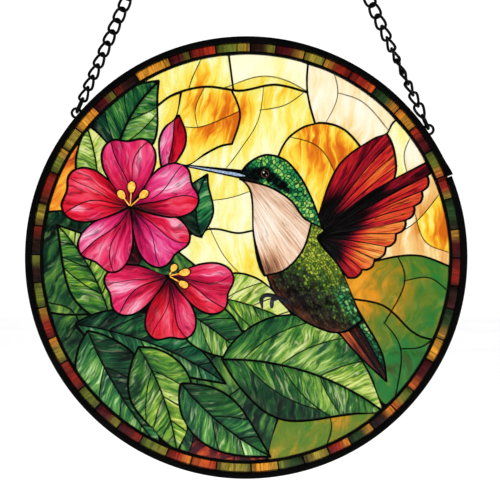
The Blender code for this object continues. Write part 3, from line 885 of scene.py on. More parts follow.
petal = {  # dark red throat, crimson, hot pink and a pale flash; pinker where cast is high
    "pull": (3.6, 22.0, 1.2),
    "shares": {"bands": 0.42, "threads": 0.12, "cloud": 0.14},
    "red": shades(
        (0.0, 250, 160, 182), (0.2, 238, 64, 92), (0.4, 226, 22, 50), (0.6, 184, 8, 30),
        (0.8, 108, 6, 22), (1.0, 40, 2, 10),
    ),
    "pink": shades(
        (0.0, 250, 204, 226), (0.2, 236, 112, 170), (0.4, 226, 48, 130), (0.6, 198, 22, 92),
        (0.8, 124, 8, 66), (1.0, 46, 2, 26),
    ),
    "flashes": (ink(250, 176, 190), ink(250, 206, 228)),
    "crease": 0.55,
    "cloudMix": 0.8,
    "tone": 0.42,
    "toneSpread": (-0.06, 0.10),
}
blossoms = {  # reach in hundredths; stamens by direction, way out, length and width in mm
    "petal_high": {
        "heart": (-57, 25), "reach": 35, "turns": (-46, -122, 166, 20, 92),
        "casts": (0.05, 0.4, 0.75, 0.95),
        "stamens": ((126, 6.6, 4.6, 3.2), (86, 8.8, 5.2, 3.5), (42, 8.2, 4.8, 3.3)),
    },
    "petal_low": {
        "heart": (-38, -9), "reach": 33, "turns": (-88, -16, 198),
        "casts": (0.0, 0.05, 0.3),
        "stamens": ((58, 4.2, 3.8, 2.8), (12, 7.2, 5.0, 3.2), (-30, 7.6, 4.6, 3.1)),
    },
}
bud = {"rib": ((-41, 38), (-33, 70), 0), "pinkTone": 0.26, "redTone": 0.50, "pinkCast": 0.9}


def petalColour(w, look):
    depth = depthOf(w, look, petal["shares"])
    red, pink = w.ramp(depth, petal["red"]), w.ramp(depth, petal["pink"])
    cloud = w.math("MULTIPLY", w.math("SUBTRACT", look["cloud"], 0.5), petal["cloudMix"])
    mix = w.math("ADD", look["cast"], cloud, clamp=True)
    colour = darken(w, w.blend(mix, red, pink), petal["crease"], look["creases"])
    lit = w.math("MULTIPLY", look["flashes"], w.spread(look["tone"], 0.2, 0.6, 0.6, 0.0))
    lit = w.math("MULTIPLY", lit, w.spread(mix, 0.0, 0.6, 0.45, 1.0))
    return w.blend(lit, colour, w.blend(mix, *petal["flashes"]))


def runOfBud(name, points, dice):
    across, along, length = alongLine(points, ribLine(*bud["rib"]))
    pink = across.mean() > 0
    tone = (bud["pinkTone"] if pink else bud["redTone"]) + 0.16 * np.exp(-((across / 1.2) ** 2))
    return across, along, tone, bud["pinkCast"] if pink else 0.0


def runOfPetal(name, points, dice):
    own = next(blossoms[key] for key in blossoms if name.startswith(key))
    turn, far = about(points, *own["heart"])
    petalTurn = min(own["turns"], key=lambda t: abs((np.median(turn) - t + 180) % 360 - 180))
    off = (turn - petalTurn + 180) % 360 - 180
    way = far / (own["reach"] * unit / mm)
    # each part of a petal has a lit and a shaded side; the throat is dark, the rim paler
    lit = dice.uniform(-12, 12) + off.mean()
    tone = petal["tone"] + dice.uniform(*petal["toneSpread"]) + 0.46 * np.exp(-((way / 0.30) ** 2))
    tone = tone - 0.30 * np.exp(-(((off - lit) / 12) ** 2)) * np.exp(-(((way - 0.68) / 0.26) ** 2))
    tone = tone + 0.26 * np.exp(-(((off - lit + 20) / 7) ** 2)) * np.clip(1.15 - way, 0, 1)
    return off * 0.42, far, tone, dice.choice(own["casts"])


foliage = {  # shade greens between the leaves, and orange or maroon where cast is set
    "pull": (2.4, 14.0, 1.3),
    "shares": {"bands": 0.70, "cloud": 0.46, "threads": 0.16},
    "green": shades(
        (0.0, 150, 174, 70), (0.3, 70, 122, 50), (0.58, 24, 72, 40), (0.8, 10, 40, 28),
        (1.0, 5, 18, 14),
    ),
    "orange": shades(
        (0.0, 250, 186, 60), (0.35, 238, 124, 30), (0.58, 176, 60, 28), (0.76, 84, 22, 34),
        (1.0, 34, 8, 16),
    ),
    "flash": ink(126, 172, 96),
    "flashShare": 0.5,
    "slant": (40, 140),
    "tones": {
        "foliage_1": 0.25, "foliage_2": 0.62, "foliage_3": 0.62, "foliage_4": 0.52,
        "foliage_5": 0.68, "foliage_6": 0.62,
    },
    "tone": 0.6,
    "toneSpread": (-0.22, 0.12),
    "odds": (0.12, 0.32),  # orange below the first, maroon from there to the second
    "orangeTone": 0.3,
    "maroonTone": 0.84,
}


def foliageColour(w, look):
    depth = depthOf(w, look, foliage["shares"])
    green, orange = w.ramp(depth, foliage["green"]), w.ramp(depth, foliage["orange"])
    flashes = w.math("MULTIPLY", look["flashes"], foliage["flashShare"])
    return w.blend(look["cast"], w.blend(flashes, green, foliage["flash"]), orange)


def runOfFoliage(name, points, dice):
    across, along = slanted(points, dice, *foliage["slant"])
    tone = foliage["tones"].get(name, foliage["tone"]) + dice.uniform(*foliage["toneSpread"])
    if name == "foliage_1":
        return across, along, np.full(len(points), foliage["tones"][name]), 1
    # among the greens a few pieces are orange or the maroon of a stem
    odd = dice.random()
    if odd < foliage["odds"][0]:
        return across, along, np.full(len(points), foliage["orangeTone"]), 1
    if odd < foliage["odds"][1]:
        return across, along, np.full(len(points), foliage["maroonTone"]), 1
    return across, along, np.full(len(points), tone), 0


wing = {  # black at the root, then maroon, red and orange towards the tips
    "pull": (1.8, 18.0, 0.3),
    "shares": {"bands": 0.22, "threads": 0.22},
    "colours": shades(
        (0.0, 250, 192, 104), (0.16, 240, 140, 58), (0.32, 228, 84, 40), (0.46, 206, 34, 38),
        (0.6, 150, 14, 34), (0.74, 70, 6, 20), (0.86, 16, 3, 7), (1.0, 4, 2, 3),
    ),
    "crease": 0.75,
    "fan": 0.55,  # how wide a degree of the fan counts across the streaks
}
backWing = {
    "root": (33, 12),
    "reach": 58,
    "turns": (51.0, 45.5, 40.0, 34.5, 29.5),
    "tones": (0.58, 0.42, 0.34, 0.44, 0.26, 0.12),
    "rootTone": 0.95,
}
frontWing = {
    "root": (35, 10),
    "tips": ((91, 48), (87, 34), (80, 21), (71, 8), (61, -3), (50, -10)),
    "feathers": 9,
    "tones": (0.56, 0.44, 0.40, 0.42, 0.22, 0.30, 0.14, 0.24, 0.52),
    "rootTone": 0.85,
    "edgeTone": 0.40,
}
notches = spreadAlong(curve(*frontWing["tips"]), frontWing["feathers"])


def wingColour(w, look):
    colour = w.ramp(depthOf(w, look, wing["shares"]), wing["colours"])
    return darken(w, colour, wing["crease"], look["creases"])


def runOfBackWing(points):
    turn, far = about(points, *backWing["root"])
    middle = about(points.mean(0)[None], *backWing["root"])[0][0]
    out = far / (backWing["reach"] * unit / mm)
    feather = int(np.clip(np.searchsorted(-np.array(backWing["turns"]), -middle), 0, 5))
    share = np.clip(0.5 + (middle - turn) / 9, 0, 1)
    tone = backWing["tones"][feather] + backWing["rootTone"] * np.exp(-((out / 0.30) ** 2))
    return turn * wing["fan"], far, tone + 0.16 * (share - 0.5), 0


def runOfFrontWing(points):
    turn, far = about(points, *frontWing["root"])
    middle = about(points.mean(0)[None], *frontWing["root"])[0][0]
    rays, reach = about(notches, *frontWing["root"])
    order = np.arange(len(rays))[::-1]
    feather = int(np.interp(middle, rays[::-1], order))
    out = far / np.interp(turn, rays[::-1], reach[::-1])
    share = np.interp(turn, rays[::-1], order) - feather
    tone = frontWing["tones"][min(feather, frontWing["feathers"] - 1)] + 0.16 * (share - 0.5)
    tone = tone - 0.06 * np.clip(out - 0.7, 0, 1)
    tone = tone + frontWing["rootTone"] * np.exp(-((out / (0.50 if feather < 6 else 0.58)) ** 4))
    # the leading edge is dark for most of its way
    tone = tone + frontWing["edgeTone"] * (feather == 0) * np.clip(1.25 - out, 0, 1)
    return turn * wing["fan"], far, tone, 0


def runOfWing(name, points, dice):
    return runOfBackWing(points) if name == "wing_back" else runOfFrontWing(points)


throat = {  # pale peach, with brown barbs that fan out from the bill
    "pull": (1.1, 20.0, 0.35),
    "shares": {"threads": 0.46, "bands": 0.26},
    "colours": shades(
        (0.0, 255, 243, 228), (0.22, 246, 222, 198), (0.42, 228, 186, 154), (0.62, 182, 128, 94),
        (0.8, 104, 62, 42), (1.0, 30, 16, 12),
    ),
    "barb": ink(126, 84, 58),
    "barbShare": 0.55,
    "fanFrom": (-12, 54),
    "tone": 0.30,
    "patches": [
        (0, 37, 10, 0.22), (8, 14, 13, -0.18), (10, -6, 9, 0.52), (26, 26, 10, 0.10),
        (4, 24, 8, -0.06),
    ],
}


def throatColour(w, look):
    colour = w.ramp(depthOf(w, look, throat["shares"]), throat["colours"])
    return w.blend(w.math("MULTIPLY", look["creases"], throat["barbShare"]), colour, throat["barb"])


def runOfThroat(name, points, dice):
    turn, far = about(points, *throat["fanFrom"])
    return turn * 0.62, far, throat["tone"] + patches(points, throat["patches"]), 0


crown = {  # emerald scales with a black mask through the eye
    "pull": (3.0, 6.0, 1.0),
    "scales": {"size": 1.5, "spread": 0.5, "darkEdge": 0.9, "colours": shades(
        (0.0, 200, 226, 120), (0.2, 112, 196, 92), (0.42, 42, 150, 84), (0.6, 18, 92, 60),
        (0.8, 10, 32, 26), (1.0, 5, 5, 6),
    )},
    "eye": [  # place, radius, soft edge and colour: a brown ring, a black ball and two glints
        (9.2, 41.2, 1.75, 0.12, ink(104, 66, 44)), (9.2, 41.2, 1.45, 0.10, ink(4, 4, 5)),
        (8.6, 41.9, 0.34, 0.10, ink(250, 250, 250)), (9.9, 40.5, 0.20, 0.08, ink(190, 196, 206)),
    ],
    "slant": (50, 52),
    "tone": 0.30,
    "maskLine": [(-3, 40), (10, 42), (20, 35), (28, 27), (38, 14)],
    "maskTone": 0.72,
    "billTone": 0.5,
}


def crownColour(w, look):
    colour = scalesOf(w, look, crown["scales"])
    for x, z, radius, soft, paint in crown["eye"]:
        colour = w.blend(paintAt(w, look, x, z, radius, soft), colour, paint)
    return colour


def runOfCrown(name, points, dice):
    middle = np.array([spot(*p) for p in crown["maskLine"]])
    across, along, length = alongLine(points, middle)
    # the dark mask runs from the bill through the eye and tapers behind it
    reach = np.maximum(np.interp(along, [0, 6, 14, 24, 30], [3.2, 3.2, 2.8, 1.8, 0.6]), 0.3)
    mask = np.exp(-(((across + 0.6) / reach) ** 4)) * np.clip((30 - along) / 8, 0, 1)
    tone = crown["tone"] + crown["maskTone"] * mask
    tone = tone + crown["billTone"] * np.exp(-((along / 7) ** 2))
    return *slanted(points, dice, *crown["slant"]), tone, 0


emerald = {"size": 1.7, "spread": 0.5, "darkEdge": 0.92, "colours": shades(
    (0.0, 196, 226, 138), (0.3, 98, 188, 104), (0.55, 34, 126, 78), (0.8, 14, 62, 44),
    (1.0, 8, 26, 22),
)}
back = {  # olive feathers above, brown-black below; rust where cast is high, emerald where low
    "pull": (1.6, 6.0, 1.2),
    "scales": {"size": 1.15, "spread": 0.44, "darkEdge": 0.75, "colours": shades(
        (0.0, 186, 200, 72), (0.22, 134, 164, 48), (0.42, 80, 120, 46), (0.56, 48, 76, 42),
        (0.68, 60, 58, 38), (0.8, 26, 28, 24), (1.0, 7, 5, 6),
    )},
    "rust": shades(
        (0.0, 230, 140, 70), (0.5, 150, 66, 34), (1.0, 36, 14, 10),
    ),
    "rustShares": {"bands": 0.4, "threads": 0.5},
    "crease": 0.6,
    "slant": (-62, -60),
    "line": [(30, 18), (34, 0), (44, -20), (54, -34)],
    "tone": 0.22,
    "shoulder": [(35, 3, 12, -0.18)],
    "rustPatches": [
        (15, -21, 5, 1.0), (24, -31, 6, 1.0), (34, -38, 6, 1.0), (44, -38, 4, 0.8),
        (9, -10, 4, 0.9),
    ],
    "covertTone": 0.30,
}


def backColour(w, look):
    olive, green = scalesOf(w, look, back["scales"]), scalesOf(w, look, emerald)
    colour = w.blend(w.spread(look["cast"], -0.1, -0.6, smooth=True), olive, green)
    rust = w.ramp(depthOf(w, look, back["rustShares"]), back["rust"])
    colour = w.blend(w.spread(look["cast"], 0.0, 1.0), colour, rust)
    return darken(w, colour, back["crease"], look["creases"])


def runOfBody(name, points, dice):
    across, along, length = alongLine(points, np.array([spot(*p) for p in back["line"]]))
    x, z = drawnPlace(*points.T)
    belly = np.clip(((31 - x) / 18 + (-9 - z) / 20) * 0.6 + 0.5, 0, 1)
    tone = back["tone"] + 0.50 * belly**1.3 + 0.16 * np.clip((-6 - z) / 14, 0, 1)
    tone = tone + 0.10 * np.sin(x * 0.9) * np.sin(z * 0.7) + patches(points, back["shoulder"])
    rust = np.clip(patches(points, back["rustPatches"]), 0, 1) * 0.8
    covert = np.clip((along / length - 0.56) / 0.22, 0, 1) * np.clip((across + 1.5) / 3.5, 0, 1)
    tone = tone * (1 - 0.8 * covert) + back["covertTone"] * covert
    return *slanted(points, dice, *back["slant"]), tone, rust * (covert < 0.1) - covert


tail = {  # rust and black long feathers, and emerald scales where cast is set
    "pull": (1.4, 16.0, 0.4),
    "shares": {"bands": 0.30, "threads": 0.30},
    "colours": shades(
        (0.0, 240, 150, 64), (0.25, 206, 98, 44), (0.5, 120, 42, 28), (0.7, 34, 12, 14),
        (1.0, 6, 4, 6),
    ),
    "line": [(45, -24), (69, -61)],
}


def tailColour(w, look):
    feathers = w.ramp(depthOf(w, look, tail["shares"]), tail["colours"])
    return w.blend(look["cast"], feathers, scalesOf(w, look, emerald))


def runOfTail(name, points, dice):
    across, along, length = alongLine(points, np.array([spot(*p) for p in tail["line"]]))
    side = across.mean()
    if side < -1.2:
        return across, along, 0.20 + 0.5 * along / length, 0
    if side > 1.4:
        return across, along, 0.26 + 0.36 * along / length, 1
    return across, along, 0.80 - 0.16 * np.exp(-(((across - 0.3) / 0.5) ** 2)), 0


tile = {  # one colour for each tone: brown, maroon, rust, orange, amber, olive or moss
    "pull": (0.9, 9.0, 0.6),
    "colours": shades(
        (0.0, 44, 22, 16), (0.12, 84, 16, 22), (0.25, 150, 36, 24), (0.38, 214, 90, 32),
        (0.50, 238, 160, 46), (0.62, 164, 144, 50), (0.75, 112, 122, 42), (0.88, 44, 70, 34),
    ),
    "beside": shades(
        (0.0, 66, 16, 20), (0.25, 206, 62, 28), (0.5, 232, 140, 44), (0.75, 128, 132, 46),
        (1.0, 40, 30, 18),
    ),
}


def tileColour(w, look):
    # cast runs from 0 to 1 over a tile: dark at its start, and mixed with another colour at its end
    base = w.ramp(look["tone"], tile["colours"], "CONSTANT")
    number = w.split(look["flow"])[2]
    other = w.noise(w.join(w.math("MULTIPLY", number, 0.37), 0.5, 0.5), 1.0, 1.0)
    beside = w.ramp(w.spread(other, 0.35, 0.65), tile["beside"])
    base = w.blend(w.spread(look["cast"], 0.45, 0.95, 0.0, 0.85, smooth=True), base, beside)
    glow = w.spread(look["cast"], 0.0, 0.35, 0.35, 1.0, smooth=True)
    lift = w.math("MULTIPLY", w.spread(look["bands"], 0.0, 1.0, 1.3, 0.4), glow)
    both = w.math("MULTIPLY", lift, w.spread(look["threads"], 0.0, 1.0, 0.6, 1.25))
    return w.blend(1.0, base, w.join(both, both, both), "MULTIPLY")


glass = {
    "sky": glassMaterial("creamAmberGlass", sky["pull"], skyColour),
    "field": glassMaterial("meadowGlass", field["pull"], fieldColour),
    "leaf": glassMaterial("leafGlass", leaf["pull"], leafColour),
    "petal": glassMaterial("petalGlass", petal["pull"], petalColour),
    "foliage": glassMaterial("shadeGlass", foliage["pull"], foliageColour),
    "wing": glassMaterial("wingGlass", wing["pull"], wingColour),
    "throat": glassMaterial("breastGlass", throat["pull"], throatColour),
    "crown": glassMaterial("crownGlass", crown["pull"], crownColour),
    "body": glassMaterial("backGlass", back["pull"], backColour),
    "tail": glassMaterial("tailGlass", tail["pull"], tailColour),
    "border": glassMaterial("borderTileGlass", tile["pull"], tileColour),
}
glass["bud"] = glass["petal"]
runs = {
    "sky": runOfSky, "field": runOfField, "leaf": runOfLeaf, "petal": runOfPetal, "bud": runOfBud,
    "foliage": runOfFoliage, "wing": runOfWing, "throat": runOfThroat, "crown": runOfCrown,
    "body": runOfBody, "tail": runOfTail,
}
print("glass mixed:", len(glass), "kinds")

blacks = {  # darkest and lightest colour, roughness from and to, grain and gloss
    "rimSatinBlack": ((0.0008, 0.0008, 0.0009), (0.0018, 0.0018, 0.0018), 0.3, 0.45, 0.08, 0.03),
    "leadPatina": ((0.0008, 0.0008, 0.0008), (0.002, 0.0018, 0.0016), 0.35, 0.6, 0.3, 0.03),
    "chainBlack": ((0.0008, 0.0008, 0.0008), (0.002, 0.002, 0.002), 0.25, 0.4, 0.12, 0.06),
}


def blackMetal(name):
    dark, light, smoothest, roughest, grain, gloss = blacks[name]
    material, w, shader = startMaterial(name, **{"Specular IOR Level": gloss})
    g = w.group(wear)
    w.link(w.blend(g["Rub"], dark, light), shader.inputs["Base Color"])
    w.link(w.spread(g["Grain"], 0.3, 0.7, smoothest, roughest), shader.inputs["Roughness"])
    bumpInto(w, shader, g["Grain"], grain, 0.1 * mm)
    return material


def enamel(name, *stops):
    # opaque fired colour, clouded and a little worn
    material, w, shader = startMaterial(name, **{"Roughness": 0.4, "Specular IOR Level": 0.25})
    place = w.node("ShaderNodeTexCoord").outputs["Object"]
    cloud = w.spread(w.noise(place, 900.0, 3.0, 0.6, 0.4), 0.3, 0.7)
    w.link(w.ramp(cloud, shades(*stops)), shader.inputs["Base Color"])
    bumpInto(w, shader, w.noise(place, 1600.0, 3.0), 0.15, 0.1 * mm)
    return material


rimBlack, leadBlack, chainBlack = (blackMetal(name) for name in blacks)
stamenAmber = enamel("stamenAmber", (0.0, 196, 96, 20), (0.4, 244, 164, 40), (1.0, 255, 216, 108))
billBlue = enamel("billBlue", (0.0, 88, 108, 138), (0.5, 134, 156, 184), (1.0, 180, 194, 212))
toeBlue = enamel("toeBlue", (0.0, 4, 5, 8), (0.7, 12, 16, 30), (1.0, 64, 78, 112))
print("blacks and enamels mixed")

# the lead web and its openings, smoothed from the few-sided ones of the solid
web = {
    "edgeHeight": 1.56 * mm,
    "crown": 0.42 * mm,
    "shoulder": 0.46 * mm,
    "underLead": 0.34 * mm,
    "flow": 0.07 * mm,  # solder runs this far over the glass on each side
    "besideEdge": (0.13 * mm, 0.38 * mm),  # rows of points that round the shoulders
    "clear": 0.10 * mm,  # no point nearer to an outline than this
    "closest": 0.16 * mm,
    "ringSteps": 420,
    "lumps": 0.10,
    "lumpSize": 3.0 * mm,
}
openings = [smoothLoop(loop[::-1]) for loop in outlinesOf("leading") if areaOf(loop) < 0]
openings = [loop - normalsOf(loop) * web["flow"] for loop in openings]
print("openings in the lead:", len(openings))


def ownOpening(node):
    # of the openings that hold most of this pane, the one whose middle is nearest
    loop = outlinesOf(node)[0]
    holding = [o for o in openings if insideLoop(loop, o).mean() > 0.6]
    return min(holding, key=lambda o: np.linalg.norm(o.mean(0) - loop.mean(0)))


cuts = []  # line, bead width, how the names of its panes begin, and may it end in the open


def cut(line, width, panes, loose=False):
    cuts.append((line, width * mm, panes, loose))


drawnLines = {  # width in mm, and thin lines through places of the picture
    "sky": (0.32, [
        ((-31, 72), (-27, 87), (-21, 100)),
        ((-12, 83), (6, 89), (20, 87), (36, 78)),
        ((9, 87), (6, 68), (-3, 53), (-13, 40)),
        ((32, 84), (19, 75), (3, 72)),
        ((-42, 67), (-25, 64), (-10, 69), (0, 74)),
        ((-19, 87), (-25, 73), (-23, 60)),
        ((41, 98), (45, 80), (37, 62)),
        ((42, 82), (58, 76), (73, 59)),
        ((14, 61), (36, 54), (48, 32)),
        ((-32, 27), (-10, 29), (6, 34)),
        ((-20, 19), (-11, 1), (1, -12)),
        ((68, 8), (84, 18), (98, 35)),
        ((82, 25), (88, 8), (101, 2)),
        ((86, 68), (78, 52), (80, 38)),
    ]),
    "field": (0.5, [
        ((72, 6), (78, -12), (66, -36)),
        ((75, -12), (90, -10), (101, -18)),
        ((64, -27), (76, -45), (73, -72)),
        ((74, -45), (86, -44), (96, -37)),
        ((34, -68), (42, -82), (37, -99)),
    ]),
    "foliage": (0.5, [
        ((-98, 10), (-88, 2), (-78, 6)),
        ((-98, -22), (-86, -26), (-78, -40)),
        ((-74, -10), (-66, -6), (-60, 0)),
        ((-60, -16), (-50, 2), (-44, 12)),
        ((-26, -2), (-32, 4), (-34, 14)),
        ((-10, -44), (-24, -58), (-20, -70)),
        ((0, -62), (-16, -72), (-26, -66)),
        ((-30, -100), (-26, -88), (-30, -80)),
        ((-6, -102), (-4, -90), (8, -84)),
        ((-70, -74), (-58, -70), (-46, -84)),
    ]),
    "bud": (0.5, [((-41, 34), (-38, 48), (-36, 58), (-35, 74))]),
    "tail": (0.5, [
        ((40, -18), (45, -29), (55, -42), (71, -64)),
        ((48, -18), (53, -29), (61, -43), (72, -64)),
    ]),
}
lineWidths = {  # in mm
    "rib": 0.62, "vein": 0.42, "fold": 0.42, "fineFold": 0.30, "backFeather": 0.42,
    "frontFeather": 0.46, "barb": 0.26,
}
vein = {"lean": 44.0, "steps": 46, "step": 0.9, "bend": 0.9}  # steps in mm


def cutVeins(key, own):
    # side veins leave the rib in pairs and bend forward
    rib = ribLine(*own["rib"])
    for share in own.get("veins", ()):
        k = int(share * (len(rib) - 1))
        run = rib[min(k + 1, len(rib) - 1)] - rib[k - 1]
        heading = math.atan2(run[1], run[0])
        for side in (-1, 1):
            here, line = rib[k].copy(), [rib[k].copy()]
            turn = heading + side * math.radians(own.get("veinLean", vein["lean"]))
            for _ in range(own.get("veinSteps", vein["steps"])):
                here = here + np.array([math.cos(turn), math.sin(turn)]) * vein["step"] * mm
                turn -= side * math.radians(vein["bend"])
                line.append(here.copy())
            cut(np.array(line), lineWidths["vein"], key)


def fanned(root, angle, way):
    # a line that leaves a root at these angles and distances
    return root + np.stack([np.cos(angle), np.sin(angle)], 1) * way[:, None]


def cutFolds(key, own):
    # each petal has one fold from the heart and a shorter, finer one on the other side
    for number, petalTurn in enumerate(own["turns"]):
        lean = -1 if number % 2 else 1
        for side, start, width in ((lean, 0.0, "fold"), (-lean, 0.30, "fineFold")):
            share = np.linspace(start, 1.12, 34)
            wave = 4 * np.sin(share * 6 + number)
            angle = np.radians(petalTurn + side * (2 + 15 * share**1.5) + wave)
            line = fanned(spot(*own["heart"]), angle, share * own["reach"] * unit)
            cut(line, lineWidths[width], key, loose=start > 0)


def cutFeathers():
    root = spot(*frontWing["root"])
    bulge = np.outer(np.sin(np.linspace(0, math.pi, 54)), [0.0, 0.6 * mm])
    for k in range(1, frontWing["feathers"]):
        if k != frontWing["feathers"] // 2:  # a lead line of the web runs there
            line = root + np.outer(np.linspace(0.0, 1.04, 54), notches[k] - root) + bulge
            cut(line, lineWidths["frontFeather"], "wing_front")
            # a shorter line between two feathers
            between = (notches[k] + notches[k + 1]) / 2 - root
            barb = root + np.outer(np.linspace(0.52, 0.94, 26), between)
            cut(barb, lineWidths["barb"], "wing_front", loose=True)
    share = np.linspace(0.0, 1.25, 50)
    for turn in backWing["turns"]:
        angle = np.radians(turn + 5 * np.sin(share * 2.4))
        line = fanned(spot(*backWing["root"]), angle, share * backWing["reach"] * unit)
        cut(line, lineWidths["backFeather"], "wing_back")


for kind, (width, lines) in drawnLines.items():
    for line in lines:
        cut(curve(*line), width, kind)
for key, own in leaves.items():
    if key not in ("leaf_big", "leaf_top"):  # the web has these two ribs
        rib = ribLine(*own["rib"])
        longer = np.concatenate([[2 * rib[0] - rib[4]], rib, [2 * rib[-1] - rib[-5]]])
        cut(longer, lineWidths["rib"], key)
    cutVeins(key, own)
for key, own in blossoms.items():
    cutFolds(key, own)
cutFeathers()
print("lines drawn for cutting:", len(cuts))

pane = {
    "grain": 1.25 * mm,
    "fineGrain": 0.8 * mm,
    "fineKinds": ("crown", "throat", "body", "tail", "wing"),
    "waviness": 0.07 * mm,
    "softEdge": 0.10 * mm,
    "softReach": 0.35 * mm,
    "cutGap": 0.07 * mm,
    "clear": 0.55 * mm,  # grid points keep this far from outlines and lines
    "fineClear": 0.4 * mm,
    "sharp": 50,
}
beads = {}  # runs of solder by kind of pane and width


def stretches(line, outline, step):
    # the runs of a line inside an outline that part two pieces of glass
    seen = insideLoop(line, outline) if step is None else step
    found, run = [], []
    for p, s in zip(line, seen):
        if s:
            run.append(p)
        elif run:
            found.append(np.array(run))
            run = []
    return [r for r in found + [np.array(run)] if len(r) > 3]


def makePane(number, node):
    name = node[len("glass_"):]
    kind = name.split("_")[0]
    fine = kind in pane["fineKinds"]
    opening = ownOpening(node)
    outline = opening + normalsOf(opening) * web["underLead"]
    own = [c for c in cuts if name.startswith(c[2]) and insideLoop(c[0], outline).any()]
    lines = [c[0] for c in own]
    inner = hexPoints(outline, pane["fineGrain" if fine else "grain"], number)
    inner = inner[insideLoop(inner, outline)]
    clear = distanceTo(inner, [outline] + [outAndBack(line) for line in lines])
    inner = inner[clear > pane["fineClear" if fine else "clear"]]
    spots, parts, onCut, steps = cutApart(outline, lines, inner)
    for (line, width, _, loose), step in zip(own, steps):
        found = stretches(line, outline, None if loose else step)
        beads.setdefault((kind, width), []).extend(found)

    points, faces, flows, tones, casts = [], [], [], [], []
    for part, partFaces in enumerate(parts):
        drawn = drawnBack(spots, partFaces, onCut, pane["cutGap"])
        soft = pane["softEdge"] * np.exp(-(distanceTo(drawn, [outline]) / pane["softReach"]) ** 2)
        front = -(panel["glassHalf"] - soft + pane["waviness"] * ripple(drawn, number))
        rear = panel["glassHalf"] - soft + pane["waviness"] * ripple(drawn, number + 100)
        partPoints, shape, used = plateFrom(drawn, partFaces, front, rear)
        dice = random.Random(number * 61 + part)
        across, along, tone, cast = runs[kind](name, drawn[used], dice)
        flow = np.stack([across, along, np.full(len(used), number * 3.7 + part * 1.9)], 1)
        first = len(points)
        points += partPoints
        faces += [tuple(i + first for i in f) for f in shape]
        flows += [flow, flow]
        tones += [tone, tone]
        casts += [np.broadcast_to(cast, len(used))] * 2
    obj = newObject(name + "_pane", points, faces, glass[kind],
                    sharp=pane["sharp"])
    setLook(obj, flow=np.concatenate(flows), tone=np.concatenate(tones), cast=np.concatenate(casts))
    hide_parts(node)


glassNodes = sorted(n for n in nodes if n.startswith("glass_"))
for number, node in enumerate(glassNodes):
    makePane(number, node)
print("picture panes:", len(glassNodes))


def thinnedOut(points, closest):
    # leaves out points that fall on each other along narrow leads
    tree = treeOf(points)
    keep = np.ones(len(points), bool)
    for k, (x, z) in enumerate(points):
        if keep[k]:
            for _, other, _ in tree.find_range((x, z, 0.0), closest):
                if other > k:
                    keep[other] = False
    return points[keep]


def makeWeb():
    turns = np.linspace(0, math.tau, web["ringSteps"], endpoint=False)
    middle = np.array([0, centreZ])
    ring = np.stack([np.cos(turns), np.sin(turns)], 1) * panel["borderInner"] + middle
    loops = [ring] + openings
    extra = np.concatenate([
        loop + normalsOf(loop) * sign * reach
        for loop, sign in [(ring, -1)] + [(o, 1) for o in openings]
        for reach in web["besideEdge"]
    ])
    radius = np.linalg.norm(extra - middle, axis=1)
    extra = extra[radius < panel["borderInner"] - web["clear"]]
    extra = extra[~insideAny(extra, openings)]
    extra = extra[distanceTo(extra, loops) > web["clear"]]
    spots, faces = triangulate(loops, thinnedOut(extra, web["closest"]))
    centres = np.array([spots[list(f)].mean(0) for f in faces])
    solid = np.linalg.norm(centres - middle, axis=1) < panel["borderInner"]
    solid &= ~insideAny(centres, openings)
    faces = [f for f, k in zip(faces, solid) if k]
    edge = np.minimum(distanceTo(spots, loops), web["shoulder"]) / web["shoulder"]
    lumps = 1 + web["lumps"] * ripple(spots, 5, web["lumpSize"])
    rise = web["edgeHeight"] + web["crown"] * np.sqrt(1 - (1 - edge) ** 2) * lumps
    points, shape, _ = plateFrom(spots, faces, -rise, rise)
    obj = newObject("lead_web", points, shape, leadBlack, sharp=60)
    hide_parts("leading")


makeWeb()
print("lead web soldered")

solder = {"base": 1.40 * mm, "rise": 0.30 * mm, "taper": 0.3}


def beadLines(name, lines, width, rise, material=leadBlack,
              base=solder["base"], taper=0.25, across=6):
    # half-round beads along lines of (x, z), front and back; each thins towards its ends by taper
    points, faces = [], []
    row = across + 1
    for line in lines:
        count = len(line)
        run = np.gradient(line, axis=0)
        run /= np.linalg.norm(run, axis=1)[:, None]
        side = np.stack([-run[:, 1], run[:, 0]], 1)
        way = np.linspace(0, 1, count)
        share = 1 - taper + taper * np.clip(np.sin(way * math.pi) * 2.2, 0, 1)
        for y in (-1, 1):
            first = len(points)
            for k in range(count):
                for s in range(row):
                    turn = math.pi * s / across
                    here = line[k] + side[k] * (width / 2 * share[k] * math.cos(turn))
                    high = base + rise * share[k] * math.sin(turn)
                    points.append((here[0], y * high, here[1]))
            shape = []
            for k in range(count - 1):
                q = first + k * row
                shape += [(q + s, q + s + row, q + s + row + 1, q + s + 1) for s in range(across)]
                shape.append((q, q + across, q + row + across, q + row))
            last = first + (count - 1) * row
            shape.append(tuple(range(first, first + row)))
            shape.append(tuple(range(last, last + row))[::-1])
            faces += [turnedOver(face, y < 0) for face in shape]
    return newObject(name, points, faces, material)


for (kind, width), lines in sorted(beads.items()):
    name = f"{kind}_beads_{round(width / mm * 100)}"
    beadLines(name, lines, width, solder["rise"], taper=solder["taper"])
print("lines soldered over the cuts:", sum(len(found) for found in beads.values()))

stamen = {  # a drop over a dark edge that is so many mm longer and wider, and a thread to each
    "rings": 5, "around": 20,
    "base": 2.02 * mm, "top": 2.42 * mm,
    "edge": 0.8, "edgeBase": 1.95 * mm, "edgeTop": 2.12 * mm,
    "thread": 0.6 * mm, "threadRise": 0.5 * mm, "threadBase": 1.85 * mm,
}


